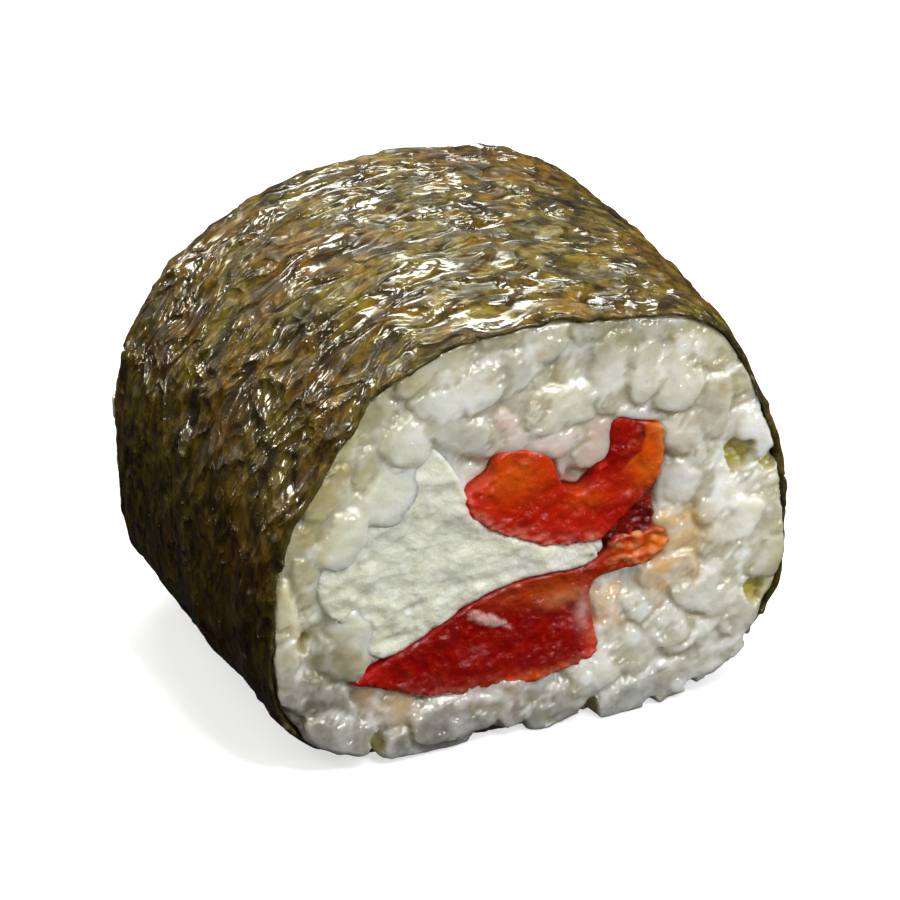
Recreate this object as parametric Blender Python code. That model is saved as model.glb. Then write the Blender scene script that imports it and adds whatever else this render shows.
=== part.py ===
"""A slice of sushi roll: a nori sheet round rice, with cream cheese and two strips of
red pepper running through it. The roll's axis is Y, its cut faces look along -Y and +Y,
and it lies on its flattened underside at z = 0. Sizes are in millimetres."""

import math

import bmesh
import bpy
from mathutils import Vector, noise

MM = 0.001

# Roll
LENGTH = 30.0            # cut face to cut face
AXIS_HEIGHT = 15.7       # section centre above the underside
CENTRE_X = -0.37         # section centre, so that the slice stands over the origin
SHEET = 0.5              # nori thickness
GAP = 0.3                # between neighbouring solids
SEAM_ANGLE = -30.0       # where the outer end of the sheet stops, low on the right
SEAM_STEP = 0.3          # height of the sheet's free end over the layer below
SEAM_RUN = 48.0          # angle over which the overlap rises
WRINKLE = 0.13           # relief of the sheet

# Half sizes of the section (right, left, top, bottom) and how square each quarter is
# (top right, top left, bottom left, bottom right), at the front cut and at the back cut
FRONT_HALF = (20.4, 19.35, 16.5, 15.65)
FRONT_SQUARE = (2.03, 2.45, 4.00, 3.44)
BACK_HALF = (20.3, 20.25, 16.8, 15.7)
BACK_SQUARE = (2.57, 1.96, 4.30, 3.30)
BELLY = (0.60, 0.15, 0.10)   # the middle stands out: all round, more right, more up
# Flats and corners that the rolling mat left: angle, spread, height
PRESSED = ((10.0, 22.0, -0.67), (45.0, 16.0, 1.50), (150.0, 24.0, -2.31),
           (300.0, 14.0, 0.85))

# Cut faces
SHEET_SET_BACK = 1.0     # how far the sheet's edge stays behind the rice along the bottom
SHEET_RAGGED = 0.22      # unevenness of the sheet's cut edge
RICE_BUMP = 0.42         # relief of the cut rice
GRAIN_PITCH = 3.3        # spacing of that relief

# Fillings, as strips seen on the front cut face: (x, z, half thickness) along each one
PEPPER_UPPER = ((-4.5, 3.5, 0.35), (-3.3, 3.3, 1.35), (-1.4, 3.4, 3.05), (0.9, 2.7, 3.35),
                (3.2, 1.0, 2.15), (5.2, 0.75, 2.05), (7.3, 1.7, 2.45), (8.3, 4.3, 2.25),
                (8.6, 7.3, 2.15))
PEPPER_LOWER = ((-13.4, -8.8, 0.25), (-11.0, -8.7, 0.85), (-7.6, -8.6, 2.15),
                (-4.4, -8.0, 3.2), (-1.0, -7.7, 3.85), (2.2, -7.4, 3.7), (5.0, -7.2, 3.35))
PEPPER_FLAP = ((2.4, -4.6, 0.7), (4.6, -4.1, 0.65), (6.6, -3.1, 1.25), (8.6, -2.7, 1.4),
               (10.7, -2.6, 0.75))
CREAM_CHEESE = ((-14.8, -0.9, 1.5), (-13.6, -0.8, 3.0), (-11.8, -0.4, 4.9),
                (-9.8, -0.1, 6.5), (-7.6, 0.8, 7.1), (-5.6, 0.2, 6.2), (-3.4, -1.6, 3.8),
                (-1.0, -2.0, 2.8), (2.0, -2.4, 1.9), (5.0, -2.8, 0.9))
# Drift of each strip over the roll's length: pivot x, pivot z, right, up, turn
# (degrees), growth
DRIFT_UPPER = (3.0, 2.5, -0.9, 0.8, 9.0, -0.05)
DRIFT_LOWER = (-2.0, -7.5, 0.8, 0.3, -5.0, -0.06)
DRIFT_CHEESE = (-6.0, 0.0, 0.5, 0.4, 3.0, -0.03)

WELD = 0.03              # cuts leave no points closer than this
AROUND = 60
ALONG = 9
RINGS = 9


def turned(angle):
    """An angle brought to -180..180 degrees."""
    return (angle + 180.0) % 360.0 - 180.0


def quarter_curve(angle, half, square):
    """Radius of a closed curve whose four quarters each have their own squareness."""
    c, s = math.cos(math.radians(angle)), math.sin(math.radians(angle))
    a = half[0] if c >= 0 else half[1]
    b = half[2] if s >= 0 else half[3]
    if s >= 0:
        n = square[0] if c >= 0 else square[1]
    else:
        n = square[3] if c >= 0 else square[2]
    return (abs(c / a) ** n + abs(s / b) ** n) ** (-1.0 / n)


def section_radius(angle, t):
    """Outer radius of the roll at an angle, t of the way from the front cut to the back."""
    r = (1 - t) * quarter_curve(angle, FRONT_HALF, FRONT_SQUARE)
    r += t * quarter_curve(angle, BACK_HALF, BACK_SQUARE)
    for middle, spread, height in PRESSED:
        r += (1 - t) ** 1.5 * height * math.exp(-(turned(angle - middle) / spread) ** 2)
    a = math.radians(angle)
    r += 4 * t * (1 - t) * (BELLY[0] + BELLY[1] * math.cos(a) + BELLY[2] * math.sin(a))
    return r


def overlap(angle):
    """Rise of the outer layer where it lies over the sheet's inner end."""
    past = turned(angle - SEAM_ANGLE)
    if past < 0 or past > SEAM_RUN:
        return 0.0
    u = 1 - past / SEAM_RUN
    return SEAM_STEP * u * u * (3 - 2 * u)


def wrinkle(angle, y):
    """Relief of the sheet: mostly creases that run round the roll."""
    a = math.radians(angle)
    here = Vector((math.cos(a) * 2.3, math.sin(a) * 2.3, y / 5.0))
    return WRINKLE * noise.noise(here + Vector((4.0, 1.0, 7.0)))


def wall_point(angle, t, inset, relief):
    """A point of the wall as (x, z) about the section centre, flat along the underside."""
    a = math.radians(angle)
    y = (t - 0.5) * LENGTH
    r = section_radius(angle, t) + overlap(angle)
    r += wrinkle(angle, y) if relief else 0.0
    r -= inset
    return r * math.cos(a), max(r * math.sin(a), inset - AXIS_HEIGHT)


def angles_round():
    """Even angles round the roll, with a close pair at the sheet's free end."""
    step = 360.0 / AROUND
    turns = [i * step for i in range(AROUND) if abs(turned(i * step - SEAM_ANGLE)) > 0.6]
    return sorted(turns + [(SEAM_ANGLE + 0.35) % 360.0, (SEAM_ANGLE - 0.35) % 360.0])


def low_side(angle):
    """1 along the bottom of the roll and 0 over the top."""
    return 0.5 - 0.5 * math.tanh(2.6 * (math.sin(math.radians(angle - 8.0)) + 0.35))


def sheet_edge(angle, end):
    """How far the sheet's cut edge stays behind the cut face."""
    a = math.radians(angle)
    ragged = noise.noise(Vector((math.cos(a) * 4.6, math.sin(a) * 4.6, 3.0 + 9.0 * end)))
    back = SHEET_SET_BACK * low_side(angle if end == 0 else angle + 40.0)
    return back + SHEET_RAGGED * (1.0 + ragged)


def rice_face(x, z, end):
    """How far the cut rice stays behind the cut face at a point of the section."""
    reach = min(1.0, math.hypot(x / 19.0, z / 15.5))
    low = low_side(math.degrees(math.atan2(z, x)) + (0.0 if end == 0 else 40.0))
    grain = noise.noise(Vector((x / GRAIN_PITCH, z / GRAIN_PITCH, 2.0 + 5.0 * end)))
    return 0.75 - 0.3 * low * reach ** 3 - RICE_BUMP * grain


def place(x, y, z):
    return Vector(((x + CENTRE_X) * MM, y * MM, (z + AXIS_HEIGHT) * MM))


def finish(name, bm, material, collection):
    bmesh.ops.recalc_face_normals(bm, faces=bm.faces)
    mesh = bpy.data.meshes.new(name)
    bm.to_mesh(mesh)
    bm.free()
    obj = bpy.data.objects.new(name, mesh)
    collection.objects.link(obj)
    if material is not None:
        mesh.materials.append(material)
        for face in mesh.polygons:
            face.use_smooth = True
    return obj


def bridge(bm, one, two):
    """Quads between two closed loops of the same length."""
    n = len(one)
    for i in range(n):
        j = (i + 1) % n
        bm.faces.new((one[i], one[j], two[j], two[i]))


def make_nori(material, collection):
    """The sheet: an outer and an inner wall, joined along both cut edges."""
    bm = bmesh.new()
    turns = angles_round()

    def wall(inset, relief):
        loops = []
        for k in range(ALONG):
            u = k / (ALONG - 1)
            loop = []
            for angle in turns:
                first = sheet_edge(angle, 0) / LENGTH
                last = 1 - sheet_edge(angle, 1) / LENGTH
                t = first + (last - first) * u
                x, z = wall_point(angle, t, inset, relief)
                loop.append(bm.verts.new(place(x, (t - 0.5) * LENGTH, z)))
            loops.append(loop)
        for one, two in zip(loops, loops[1:]):
            bridge(bm, one, two)
        return loops

    outer, inner = wall(0.0, True), wall(SHEET, False)
    bridge(bm, outer[0], inner[0])
    bridge(bm, outer[-1], inner[-1])
    return finish("nori", bm, material, collection)


def make_rice(material, collection):
    """The packed rice: a side wall just inside the sheet and two uneven cut faces."""
    bm = bmesh.new()
    turns = angles_round()
    inset = SHEET + GAP

    def face(end):
        """Loops from the rim to the middle of a cut face."""
        loops = []
        for ring in range(RINGS):
            share = (1 - ring / RINGS) ** 0.9
            loop = []
            for angle in turns:
                x, z = wall_point(angle, float(end), inset, False)
                x, z = x * share, z * share
                back = rice_face(x, z, end)
                y = -LENGTH / 2 + back if end == 0 else LENGTH / 2 - back
                loop.append(bm.verts.new(place(x, y, z)))
            loops.append(loop)
        for one, two in zip(loops, loops[1:]):
            bridge(bm, one, two)
        back = rice_face(0.0, 0.0, end)
        middle = bm.verts.new(place(0, -LENGTH / 2 + back if end == 0 else LENGTH / 2 - back, 0))
        last = loops[-1]
        for i in range(len(last)):
            bm.faces.new((last[i], last[(i + 1) % len(last)], middle))
        return loops[0]

    walls = [face(0)]
    for k in range(1, ALONG - 1):
        t = k / (ALONG - 1)
        loop = []
        for angle in turns:
            x, z = wall_point(angle, t, inset, False)
            loop.append(bm.verts.new(place(x, (t - 0.5) * LENGTH, z)))
        walls.append(loop)
    walls.append(face(1))
    for one, two in zip(walls, walls[1:]):
        bridge(bm, one, two)
    return finish("rice", bm, material, collection)


def smooth_value(points, u):
    """A value on the smooth curve through evenly spaced tuples, u from 0 to 1."""
    at = u * (len(points) - 1)
    i = min(int(at), len(points) - 2)
    f = at - i
    p1, p2 = points[i], points[i + 1]
    p0 = points[i - 1] if i > 0 else tuple(2 * a - b for a, b in zip(p1, p2))
    p3 = points[i + 2] if i + 2 < len(points) else tuple(2 * b - a for a, b in zip(p1, p2))
    return tuple(0.5 * (2 * b + (c - a) * f + (2 * a - 5 * b + 4 * c - d) * f * f
                        + (3 * b - a - 3 * c + d) * f ** 3)
                 for a, b, c, d in zip(p0, p1, p2, p3))


def strip_outline(strip, drift, t, grow, upright):
    """Closed outline of a strip on the section, t of the way along the roll. An upright
    strip is measured straight up and down, the others across their own run. The drift
    is (pivot x, pivot z, right, up, turn, growth)."""
    count = 2 * len(strip) + 1
    centre, halves = [], []
    for k in range(count):
        x, z, half = smooth_value(strip, k / (count - 1))
        centre.append(Vector((x, z)))
        halves.append(max(half, 0.2) + grow)
    centre[0] += (centre[0] - centre[1]).normalized() * grow
    centre[-1] += (centre[-1] - centre[-2]).normalized() * grow
    one, two = [], []
    for k in range(count):
        run = centre[min(k + 1, count - 1)] - centre[max(k - 1, 0)]
        across = Vector((0, 1)) if upright else Vector((-run.y, run.x)).normalized()
        one.append(centre[k] + across * halves[k])
        two.append(centre[k] - across * halves[k])
    outline = one + two[::-1]
    pivot = Vector(drift[:2])
    turn = math.radians(drift[4] * t)
    size = 1 + drift[5] * t + 0.012 * math.sin(9.0 * t)
    shift = Vector((drift[2] * t + 0.18 * math.sin(7.0 * t + pivot.y) - 0.18 * math.sin(pivot.y),
                    drift[3] * t + 0.15 * math.sin(5.0 * t)))
    moved = []
    for p in outline:
        q = (p - pivot) * size
        moved.append(Vector((q.x * math.cos(turn) - q.y * math.sin(turn),
                             q.x * math.sin(turn) + q.y * math.cos(turn))) + pivot + shift)
    return moved


def make_strip(name, strip, drift, material, collection, grow=0.0, beyond=0.0,
               upright=False, recess=0.75):
    """A filling that runs from cut face to cut face, or a larger cutter for its channel."""
    bm = bmesh.new()
    loops = []
    for k in range(6):
        u = k / 5
        y = (u - 0.5) * (LENGTH - 2 * recess + 2 * beyond)
        t = min(max(y / LENGTH + 0.5, 0.0), 1.0)
        outline = strip_outline(strip, drift, t, grow, upright)
        loops.append([bm.verts.new(place(p.x, y, p.y)) for p in outline])
    for one, two in zip(loops, loops[1:]):
        bridge(bm, one, two)
    bm.faces.new(loops[0])
    bm.faces.new(loops[-1][::-1])
    return finish(name, bm, material, collection)


def boolean(obj, other, operation):
    modifier = obj.modifiers.new(operation.lower() + "_" + other.name, "BOOLEAN")
    modifier.operation = operation
    modifier.solver = "EXACT"
    modifier.object = other


def weld(obj):
    """Joins the points that lie almost on each other where cuts cross."""
    modifier = obj.modifiers.new("weld", "WELD")
    modifier.merge_threshold = WELD * MM


def make_material(name, colour, roughness):
    material = bpy.data.materials.new(name)
    material.use_nodes = True
    shader = material.node_tree.nodes["Principled BSDF"]
    shader.inputs["Base Color"].default_value = (*colour, 1.0)
    shader.inputs["Roughness"].default_value = roughness
    shader.inputs["Metallic"].default_value = 0.0
    return material


def main():
    for obj in list(bpy.data.objects):
        bpy.data.objects.remove(obj, do_unlink=True)
    roll = bpy.data.collections.new("hosomaki_roll")
    cutters = bpy.data.collections.new("cutters")
    bpy.context.scene.collection.children.link(roll)
    bpy.context.scene.collection.children.link(cutters)

    nori_skin = make_material("nori_skin", (0.045, 0.040, 0.012), 0.35)
    rice_grain = make_material("rice_grain", (0.80, 0.78, 0.68), 0.40)
    cheese_white = make_material("cheese_white", (0.86, 0.86, 0.76), 0.50)
    pepper_red = make_material("pepper_red", (0.55, 0.03, 0.01), 0.25)
    pepper_dark = make_material("pepper_dark", (0.42, 0.02, 0.01), 0.25)

    make_nori(nori_skin, roll)
    rice = make_rice(rice_grain, roll)
    make_strip("pepper_upper", PEPPER_UPPER, DRIFT_UPPER, pepper_red, roll)
    lower = make_strip("pepper_lower", PEPPER_LOWER, DRIFT_LOWER, pepper_dark, roll)
    cheese = make_strip("cream_cheese", CREAM_CHEESE, DRIFT_CHEESE, cheese_white, roll,
                        upright=True, recess=0.6)

    # The lower strip ends in a thin flap of flesh that curls towards the upper one
    flap = make_strip("flap", PEPPER_FLAP, DRIFT_LOWER, None, cutters)
    boolean(lower, flap, "UNION")

    # Each filling gets its own channel, a gap wider than the filling
    wide = dict(grow=GAP, beyond=4.0)
    upper_way = make_strip("upper_way", PEPPER_UPPER, DRIFT_UPPER, None, cutters, **wide)
    lower_way = make_strip("lower_way", PEPPER_LOWER, DRIFT_LOWER, None, cutters, **wide)
    flap_way = make_strip("flap_way", PEPPER_FLAP, DRIFT_LOWER, None, cutters, **wide)
    cheese_way = make_strip("cheese_way", CREAM_CHEESE, DRIFT_CHEESE, None, cutters,
                            upright=True, **wide)
    boolean(rice, cheese_way, "DIFFERENCE")
    for way in (upper_way, lower_way, flap_way):
        boolean(cheese, way, "DIFFERENCE")
        boolean(rice, way, "DIFFERENCE")
    for cut in (lower, cheese, rice):
        weld(cut)
    for helper in cutters.objects:
        helper.hide_render = True
        helper.display_type = "WIRE"


main()
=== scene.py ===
import math

import bpy
import numpy as np
from mathutils import Matrix, Vector, kdtree
from mathutils.geometry import delaunay_2d_cdt


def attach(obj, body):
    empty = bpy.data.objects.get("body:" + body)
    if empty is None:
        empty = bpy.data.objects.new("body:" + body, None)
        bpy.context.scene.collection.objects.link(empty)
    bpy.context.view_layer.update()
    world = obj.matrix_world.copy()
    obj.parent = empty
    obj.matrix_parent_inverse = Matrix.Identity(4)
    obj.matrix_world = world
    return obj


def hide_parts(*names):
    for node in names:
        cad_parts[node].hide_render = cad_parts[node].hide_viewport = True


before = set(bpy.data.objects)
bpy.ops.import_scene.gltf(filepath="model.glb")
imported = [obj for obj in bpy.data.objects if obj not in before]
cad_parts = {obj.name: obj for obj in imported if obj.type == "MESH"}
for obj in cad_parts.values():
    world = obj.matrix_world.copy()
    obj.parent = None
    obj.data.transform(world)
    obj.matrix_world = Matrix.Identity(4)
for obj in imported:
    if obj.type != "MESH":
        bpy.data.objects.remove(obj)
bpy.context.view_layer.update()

# The looks of a slice of sushi roll. Shapes are worked out in millimetres about the
# centre of the section (x across, y along the roll, z up) and made in metres.

MM = 0.001
LENGTH, AXIS_HEIGHT, CENTRE_X = 30.0, 15.7, -0.37
SEAM_ANGLE, SEAM_STEP, SEAM_RUN = -30.0, 0.3, 48.0
FRONT_HALF, FRONT_SQUARE = (20.4, 19.35, 16.5, 15.65), (2.03, 2.45, 4.00, 3.44)
BACK_HALF, BACK_SQUARE = (20.3, 20.25, 16.8, 15.7), (2.57, 1.96, 4.30, 3.30)
BELLY = (0.60, 0.15, 0.10)
PRESSED = ((10.0, 22.0, -0.67), (45.0, 16.0, 1.50), (150.0, 24.0, -2.31), (300.0, 14.0, 0.85))
DRIFT = {"pepper_upper": (3.0, 2.5, -0.9, 0.8, 9.0, -0.05),
         "pepper_lower": (-2.0, -7.5, 0.8, 0.3, -5.0, -0.06),
         "cream_cheese": (-6.0, 0.0, 0.5, 0.4, 3.0, -0.03)}


# ---------------------------------------------------------------- noise

def lattice(ix, iy, iz, seed):
    h = (ix.astype(np.int64) * 73856093) ^ (iy.astype(np.int64) * 19349663) ^ (
        iz.astype(np.int64) * 83492791) ^ (seed * 2654435761)
    h = (h ^ (h >> 13)) * 1274126177 & 0xFFFFFFFF
    h = (h ^ (h >> 16)) * 2246822519 & 0xFFFFFFFF
    return h ^ (h >> 15)


def noise3(p, seed=0):
    """Gradient noise, about -1 to 1, at points given as an array (..., 3)."""
    p = np.asarray(p, float)
    i = np.floor(p)
    f = p - i
    u = f * f * f * (f * (f * 6 - 15) + 10)
    out = 0.0
    for dx in (0, 1):
        wx = u[..., 0] if dx else 1 - u[..., 0]
        for dy in (0, 1):
            wy = u[..., 1] if dy else 1 - u[..., 1]
            for dz in (0, 1):
                wz = u[..., 2] if dz else 1 - u[..., 2]
                h = lattice(i[..., 0] + dx, i[..., 1] + dy, i[..., 2] + dz, seed)
                g = ((h & 1023) / 511.5 - 1, ((h >> 10) & 1023) / 511.5 - 1,
                     ((h >> 20) & 1023) / 511.5 - 1)
                d = g[0] * (f[..., 0] - dx) + g[1] * (f[..., 1] - dy) + g[2] * (f[..., 2] - dz)
                out = out + wx * wy * wz * d
    return out * 1.35


def fbm(p, octaves=3, seed=0, gain=0.5):
    total, amp = 0.0, 1.0
    for k in range(octaves):
        total = total + amp * noise3(np.asarray(p) * 2.03 ** k + 17.3 * k, seed + k)
        amp *= gain
    return total


def smooth(a, b, x):
    t = np.clip((x - a) / (b - a), 0, 1)
    return t * t * (3 - 2 * t)


# ---------------------------------------------------------------- the roll's section

def turned(angle):
    return (angle + 180.0) % 360.0 - 180.0


def quarter_curve(angle, half, square):
    c, s = np.cos(np.radians(angle)), np.sin(np.radians(angle))
    a, b = np.where(c >= 0, half[0], half[1]), np.where(s >= 0, half[2], half[3])
    n = np.where(s >= 0, np.where(c >= 0, square[0], square[1]),
                 np.where(c >= 0, square[3], square[2]))
    return (np.abs(c / a) ** n + np.abs(s / b) ** n) ** (-1.0 / n)


def section_radius(angle, t):
    t = np.clip(t, 0, 1)
    r = (1 - t) * quarter_curve(angle, FRONT_HALF, FRONT_SQUARE)
    r = r + t * quarter_curve(angle, BACK_HALF, BACK_SQUARE)
    for middle, spread, height in PRESSED:
        r = r + (1 - t) ** 1.5 * height * np.exp(-(turned(angle - middle) / spread) ** 2)
    a = np.radians(angle)
    return r + 4 * t * (1 - t) * (BELLY[0] + BELLY[1] * np.cos(a) + BELLY[2] * np.sin(a))


def overlap(angle):
    past = turned(angle - SEAM_ANGLE)
    u = 1 - past / SEAM_RUN
    return np.where((past < 0) | (past > SEAM_RUN), 0.0, SEAM_STEP * u * u * (3 - 2 * u))


def low_side(angle):
    return 0.5 - 0.5 * np.tanh(2.6 * (np.sin(np.radians(angle - 8.0)) + 0.35))


def sheet_edge(angle, end):
    """How far the sheet's cut edge stays behind the cut face: ragged, with small tears."""
    a = np.radians(angle)
    ring = np.stack([np.cos(a), np.sin(a), np.full_like(a, 3.0 + 9.0 * end)], -1)
    back = 1.15 * low_side(angle if end == 0 else angle + 40.0)
    back = back + 0.24 + 0.26 * noise3(ring * (4.6, 4.6, 1)) + 0.20 * noise3(ring * (13, 13, 1), 5)
    back = back + 0.10 * noise3(ring * (40, 40, 1), 7)
    tear = noise3(ring * (22, 22, 1), 9)
    return back + 0.5 * smooth(0.42, 0.75, tear)


def to_world(x, y, z):
    p = np.stack(np.broadcast_arrays(x + CENTRE_X, y, z + AXIS_HEIGHT), -1).astype(float)
    p[..., 2] = np.maximum(p[..., 2], 0.0)
    return p * MM


# ---------------------------------------------------------------- mesh helpers

def make_object(name, points, faces, material, colours=None, values=None, flat=False):
    """An object from metre points and faces, with point colours and named values."""
    mesh = bpy.data.meshes.new(name)
    mesh.from_pydata([tuple(p) for p in points], [], faces) if isinstance(faces, list) else \
        from_arrays(mesh, points, faces)
    mesh.update()
    mesh.validate()
    if colours is not None:
        layer = mesh.color_attributes.new("tint", "FLOAT_COLOR", "POINT")
        data = np.ones((len(points), 4), np.float32)
        data[:, :3] = colours
        layer.data.foreach_set("color", data.ravel())
    for key, value in (values or {}).items():
        layer = mesh.attributes.new(key, "FLOAT", "POINT")
        layer.data.foreach_set("value", np.asarray(value, np.float32).ravel())
    if not flat:
        mesh.polygons.foreach_set("use_smooth", np.ones(len(mesh.polygons), bool))
    mesh.materials.append(material)
    obj = bpy.data.objects.new(name, mesh)
    bpy.context.scene.collection.objects.link(obj)
    return obj


def from_arrays(mesh, points, faces):
    """Fills a mesh from arrays: faces (n, 3 or 4)."""
    n, k = faces.shape
    mesh.vertices.add(len(points))
    mesh.vertices.foreach_set("co", np.asarray(points, np.float32).ravel())
    mesh.loops.add(n * k)
    mesh.loops.foreach_set("vertex_index", faces.astype(np.int32).ravel())
    mesh.polygons.add(n)
    mesh.polygons.foreach_set("loop_start", np.arange(0, n * k, k, dtype=np.int32))


def grid_faces(rows, cols, closed, offset=0):
    """Quads over a grid of rows and columns; closed joins the last column to the first."""
    i, j = np.meshgrid(np.arange(rows - 1), np.arange(cols if closed else cols - 1),
                       indexing="ij")
    j2 = (j + 1) % cols
    f = np.stack([i * cols + j, i * cols + j2, (i + 1) * cols + j2, (i + 1) * cols + j], -1)
    return f.reshape(-1, 4) + offset


# ---------------------------------------------------------------- material helpers

class Nodes:
    """Short ways to add and join shader nodes."""

    def __init__(self, name):
        self.material = bpy.data.materials.new(name)
        self.material.use_nodes = True
        self.tree = self.material.node_tree
        self.shader = self.tree.nodes["Principled BSDF"]
        self.place = self.tree.nodes.new("ShaderNodeTexCoord").outputs["Object"]

    def new(self, kind, inputs=None, **settings):
        node = self.tree.nodes.new(kind)
        for key, value in settings.items():
            setattr(node, key, value)
        for key, value in (inputs or {}).items():
            self.set(node.inputs[key], value)
        return node

    def set(self, socket, value):
        if hasattr(value, "links"):
            self.tree.links.new(value, socket)
        else:
            socket.default_value = value

    def scaled(self, sx, sy, sz, turn=(0, 0, 0)):
        node = self.new("ShaderNodeMapping", {"Vector": self.place})
        node.inputs["Scale"].default_value = (sx, sy, sz)
        node.inputs["Rotation"].default_value = turn
        return node.outputs["Vector"]

    def noise(self, scale, detail=3.0, rough=0.55, vector=None, distortion=0.0):
        node = self.new("ShaderNodeTexNoise", {
            "Vector": vector or self.place, "Scale": scale, "Detail": detail,
            "Roughness": rough, "Distortion": distortion})
        return node.outputs["Fac"]

    def ridged(self, scale, detail, rough, vector, distortion=0.0):
        node = self.new("ShaderNodeTexNoise", noise_type="RIDGED_MULTIFRACTAL")
        for key, value in (("Vector", vector), ("Scale", scale), ("Detail", detail), ("Roughness", rough),
                           ("Lacunarity", 2.0), ("Offset", 0.9), ("Gain", 1.4), ("Distortion", distortion)):
            self.set(node.inputs[key], value)
        return node.outputs["Fac"]

    def voronoi(self, scale, vector=None, feature="F1"):
        node = self.new("ShaderNodeTexVoronoi", {"Vector": vector or self.place, "Scale": scale},
                        feature=feature)
        return node.outputs["Distance"]

    def ramp(self, fac, low, high, a=0.0, b=1.0):
        node = self.new("ShaderNodeMapRange", {"Value": fac, "From Min": low, "From Max": high,
                                               "To Min": a, "To Max": b})
        node.interpolation_type = "SMOOTHSTEP"
        return node.outputs["Result"]

    def mix(self, fac, a, b, blend="MIX"):
        node = self.new("ShaderNodeMix", data_type="RGBA", blend_type=blend)
        node.clamp_factor = True
        self.set(node.inputs[0], fac)
        self.set(node.inputs[6], a if hasattr(a, "links") else (*a, 1.0))
        self.set(node.inputs[7], b if hasattr(b, "links") else (*b, 1.0))
        return node.outputs[2]

    def math(self, operation, a, b=0.0, clamp=False):
        node = self.new("ShaderNodeMath", operation=operation)
        node.use_clamp = clamp
        self.set(node.inputs[0], a)
        self.set(node.inputs[1], b)
        return node.outputs[0]

    def attribute(self, name, output="Color"):
        node = self.new("ShaderNodeAttribute")
        node.attribute_name = name
        return node.outputs[output]

    def bump(self, height, distance, strength=1.0, under=None):
        node = self.new("ShaderNodeBump", {"Height": height, "Distance": distance,
                                           "Strength": strength})
        if under is not None:
            self.set(node.inputs["Normal"], under)
        return node.outputs["Normal"]


# ---------------------------------------------------------------- materials

def nori_material():
    m = Nodes("nori_sheet_look")
    s = m.shader
    crease = m.attribute("crease", "Fac")
    round_the_roll = m.scaled(0.82, 1.0, 0.82)
    broad = m.noise(170.0, 3.0, 0.6)
    patch = m.noise(480.0, 4.0, 0.60, round_the_roll, 0.6)
    blotch = m.noise(1300.0, 4.0, 0.60, round_the_roll, 0.4)
    vein = m.noise(900.0, 4.0, 0.62, m.scaled(0.75, 1.0, 0.75), 0.5)
    speck = m.noise(2900.0, 3.0, 0.6, round_the_roll)
    brown = m.mix(m.ramp(patch, 0.34, 0.66), (0.034, 0.0130, 0.0010), (0.240, 0.115, 0.0040))
    olive = m.mix(m.ramp(patch, 0.34, 0.66), (0.032, 0.0200, 0.0012), (0.220, 0.160, 0.0090))
    colour = m.mix(m.ramp(broad, 0.36, 0.64), brown, olive)
    colour = m.mix(m.ramp(blotch, 0.52, 0.34, 0.0, 0.80), colour, (0.014, 0.0075, 0.0013))
    colour = m.mix(m.ramp(vein, 0.47, 0.40, 0.0, 0.50), colour, (0.009, 0.0052, 0.0010))
    colour = m.mix(m.ramp(speck, 0.58, 0.72, 0.0, 0.40), colour, (0.230, 0.150, 0.020))
    # painted shade: darker in the hollows of the sheet's relief (low crease values)
    colour = m.mix(m.ramp(crease, -0.2, -0.9, 0.0, 0.50), colour, (0.010, 0.0060, 0.0012))
    # painted shade: the sheet's left side darkened (the dim value)
    colour = m.mix(m.attribute("dim", "Fac"), colour, (0.0085, 0.0036, 0.0009))
    colour = m.mix(m.attribute("rim", "Fac"), colour, (0.046, 0.043, 0.012))
    m.set(s.inputs["Base Color"], colour)
    wet = m.noise(330.0, 3.0, 0.55, m.scaled(0.8, 1.0, 0.8), 0.6)
    m.set(s.inputs["Roughness"], m.ramp(wet, 0.42, 0.60, 0.46, 0.20))
    s.inputs["Specular IOR Level"].default_value = 0.32
    s.inputs["IOR"].default_value = 1.5
    shine = m.math("MULTIPLY", m.ramp(wet, 0.44, 0.58, 0.05, 1.0),
                   m.ramp(m.attribute("dim", "Fac"), 0.05, 0.5, 1.0, 0.25))
    m.set(s.inputs["Coat Weight"], shine)
    s.inputs["Coat Roughness"].default_value = 0.09
    ripple = m.ridged(430.0, 2.5, 0.55, m.scaled(0.70, 1.0, 0.70), 0.4)
    fine = m.noise(1900.0, 2.0, 0.5, m.scaled(0.72, 1.0, 0.72), 0.5)
    first = m.bump(ripple, 0.00042, 0.80)
    s.inputs["Specular Tint"].default_value = (1.0, 0.86, 0.50, 1.0)
    m.set(s.inputs["Normal"], m.bump(fine, 0.00008, 0.6, first))
    m.set(s.inputs["Coat Normal"], m.bump(fine, 0.00003, 0.5, first))
    return m.material


def rice_material(name="rice_look"):
    m = Nodes(name)
    s = m.shader
    tint = m.attribute("tint")
    cloud = m.noise(420.0, 3.0, 0.6)
    milk = m.noise(900.0, 2.0, 0.5)
    colour = m.mix(m.ramp(cloud, 0.46, 0.68, 0.0, 0.35), tint, (0.84, 0.84, 0.80))
    colour = m.mix(m.ramp(milk, 0.48, 0.30, 0.0, 0.25), colour, (0.52, 0.49, 0.36))
    m.set(s.inputs["Base Color"], colour)
    s.inputs["Subsurface Weight"].default_value = 1.0
    s.inputs["Subsurface Radius"].default_value = (1.0, 0.88, 0.66)
    s.inputs["Subsurface Scale"].default_value = 0.0017
    s.inputs["IOR"].default_value = 1.40
    m.set(s.inputs["Roughness"], m.ramp(m.noise(1500.0, 3.0, 0.6), 0.35, 0.65, 0.25, 0.50))
    s.inputs["Coat Weight"].default_value = 1.0
    s.inputs["Coat Roughness"].default_value = 0.05
    s.inputs["Coat IOR"].default_value = 1.7
    skin = m.bump(m.noise(900.0, 3.0, 0.50), 0.00030, 0.60)
    m.set(s.inputs["Normal"], m.bump(m.noise(3400.0, 2.0, 0.5), 0.00002, 0.5, skin))
    m.set(s.inputs["Coat Normal"], m.bump(m.noise(820.0, 2.0, 0.5), 0.00034, 0.9))
    return m.material


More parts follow.
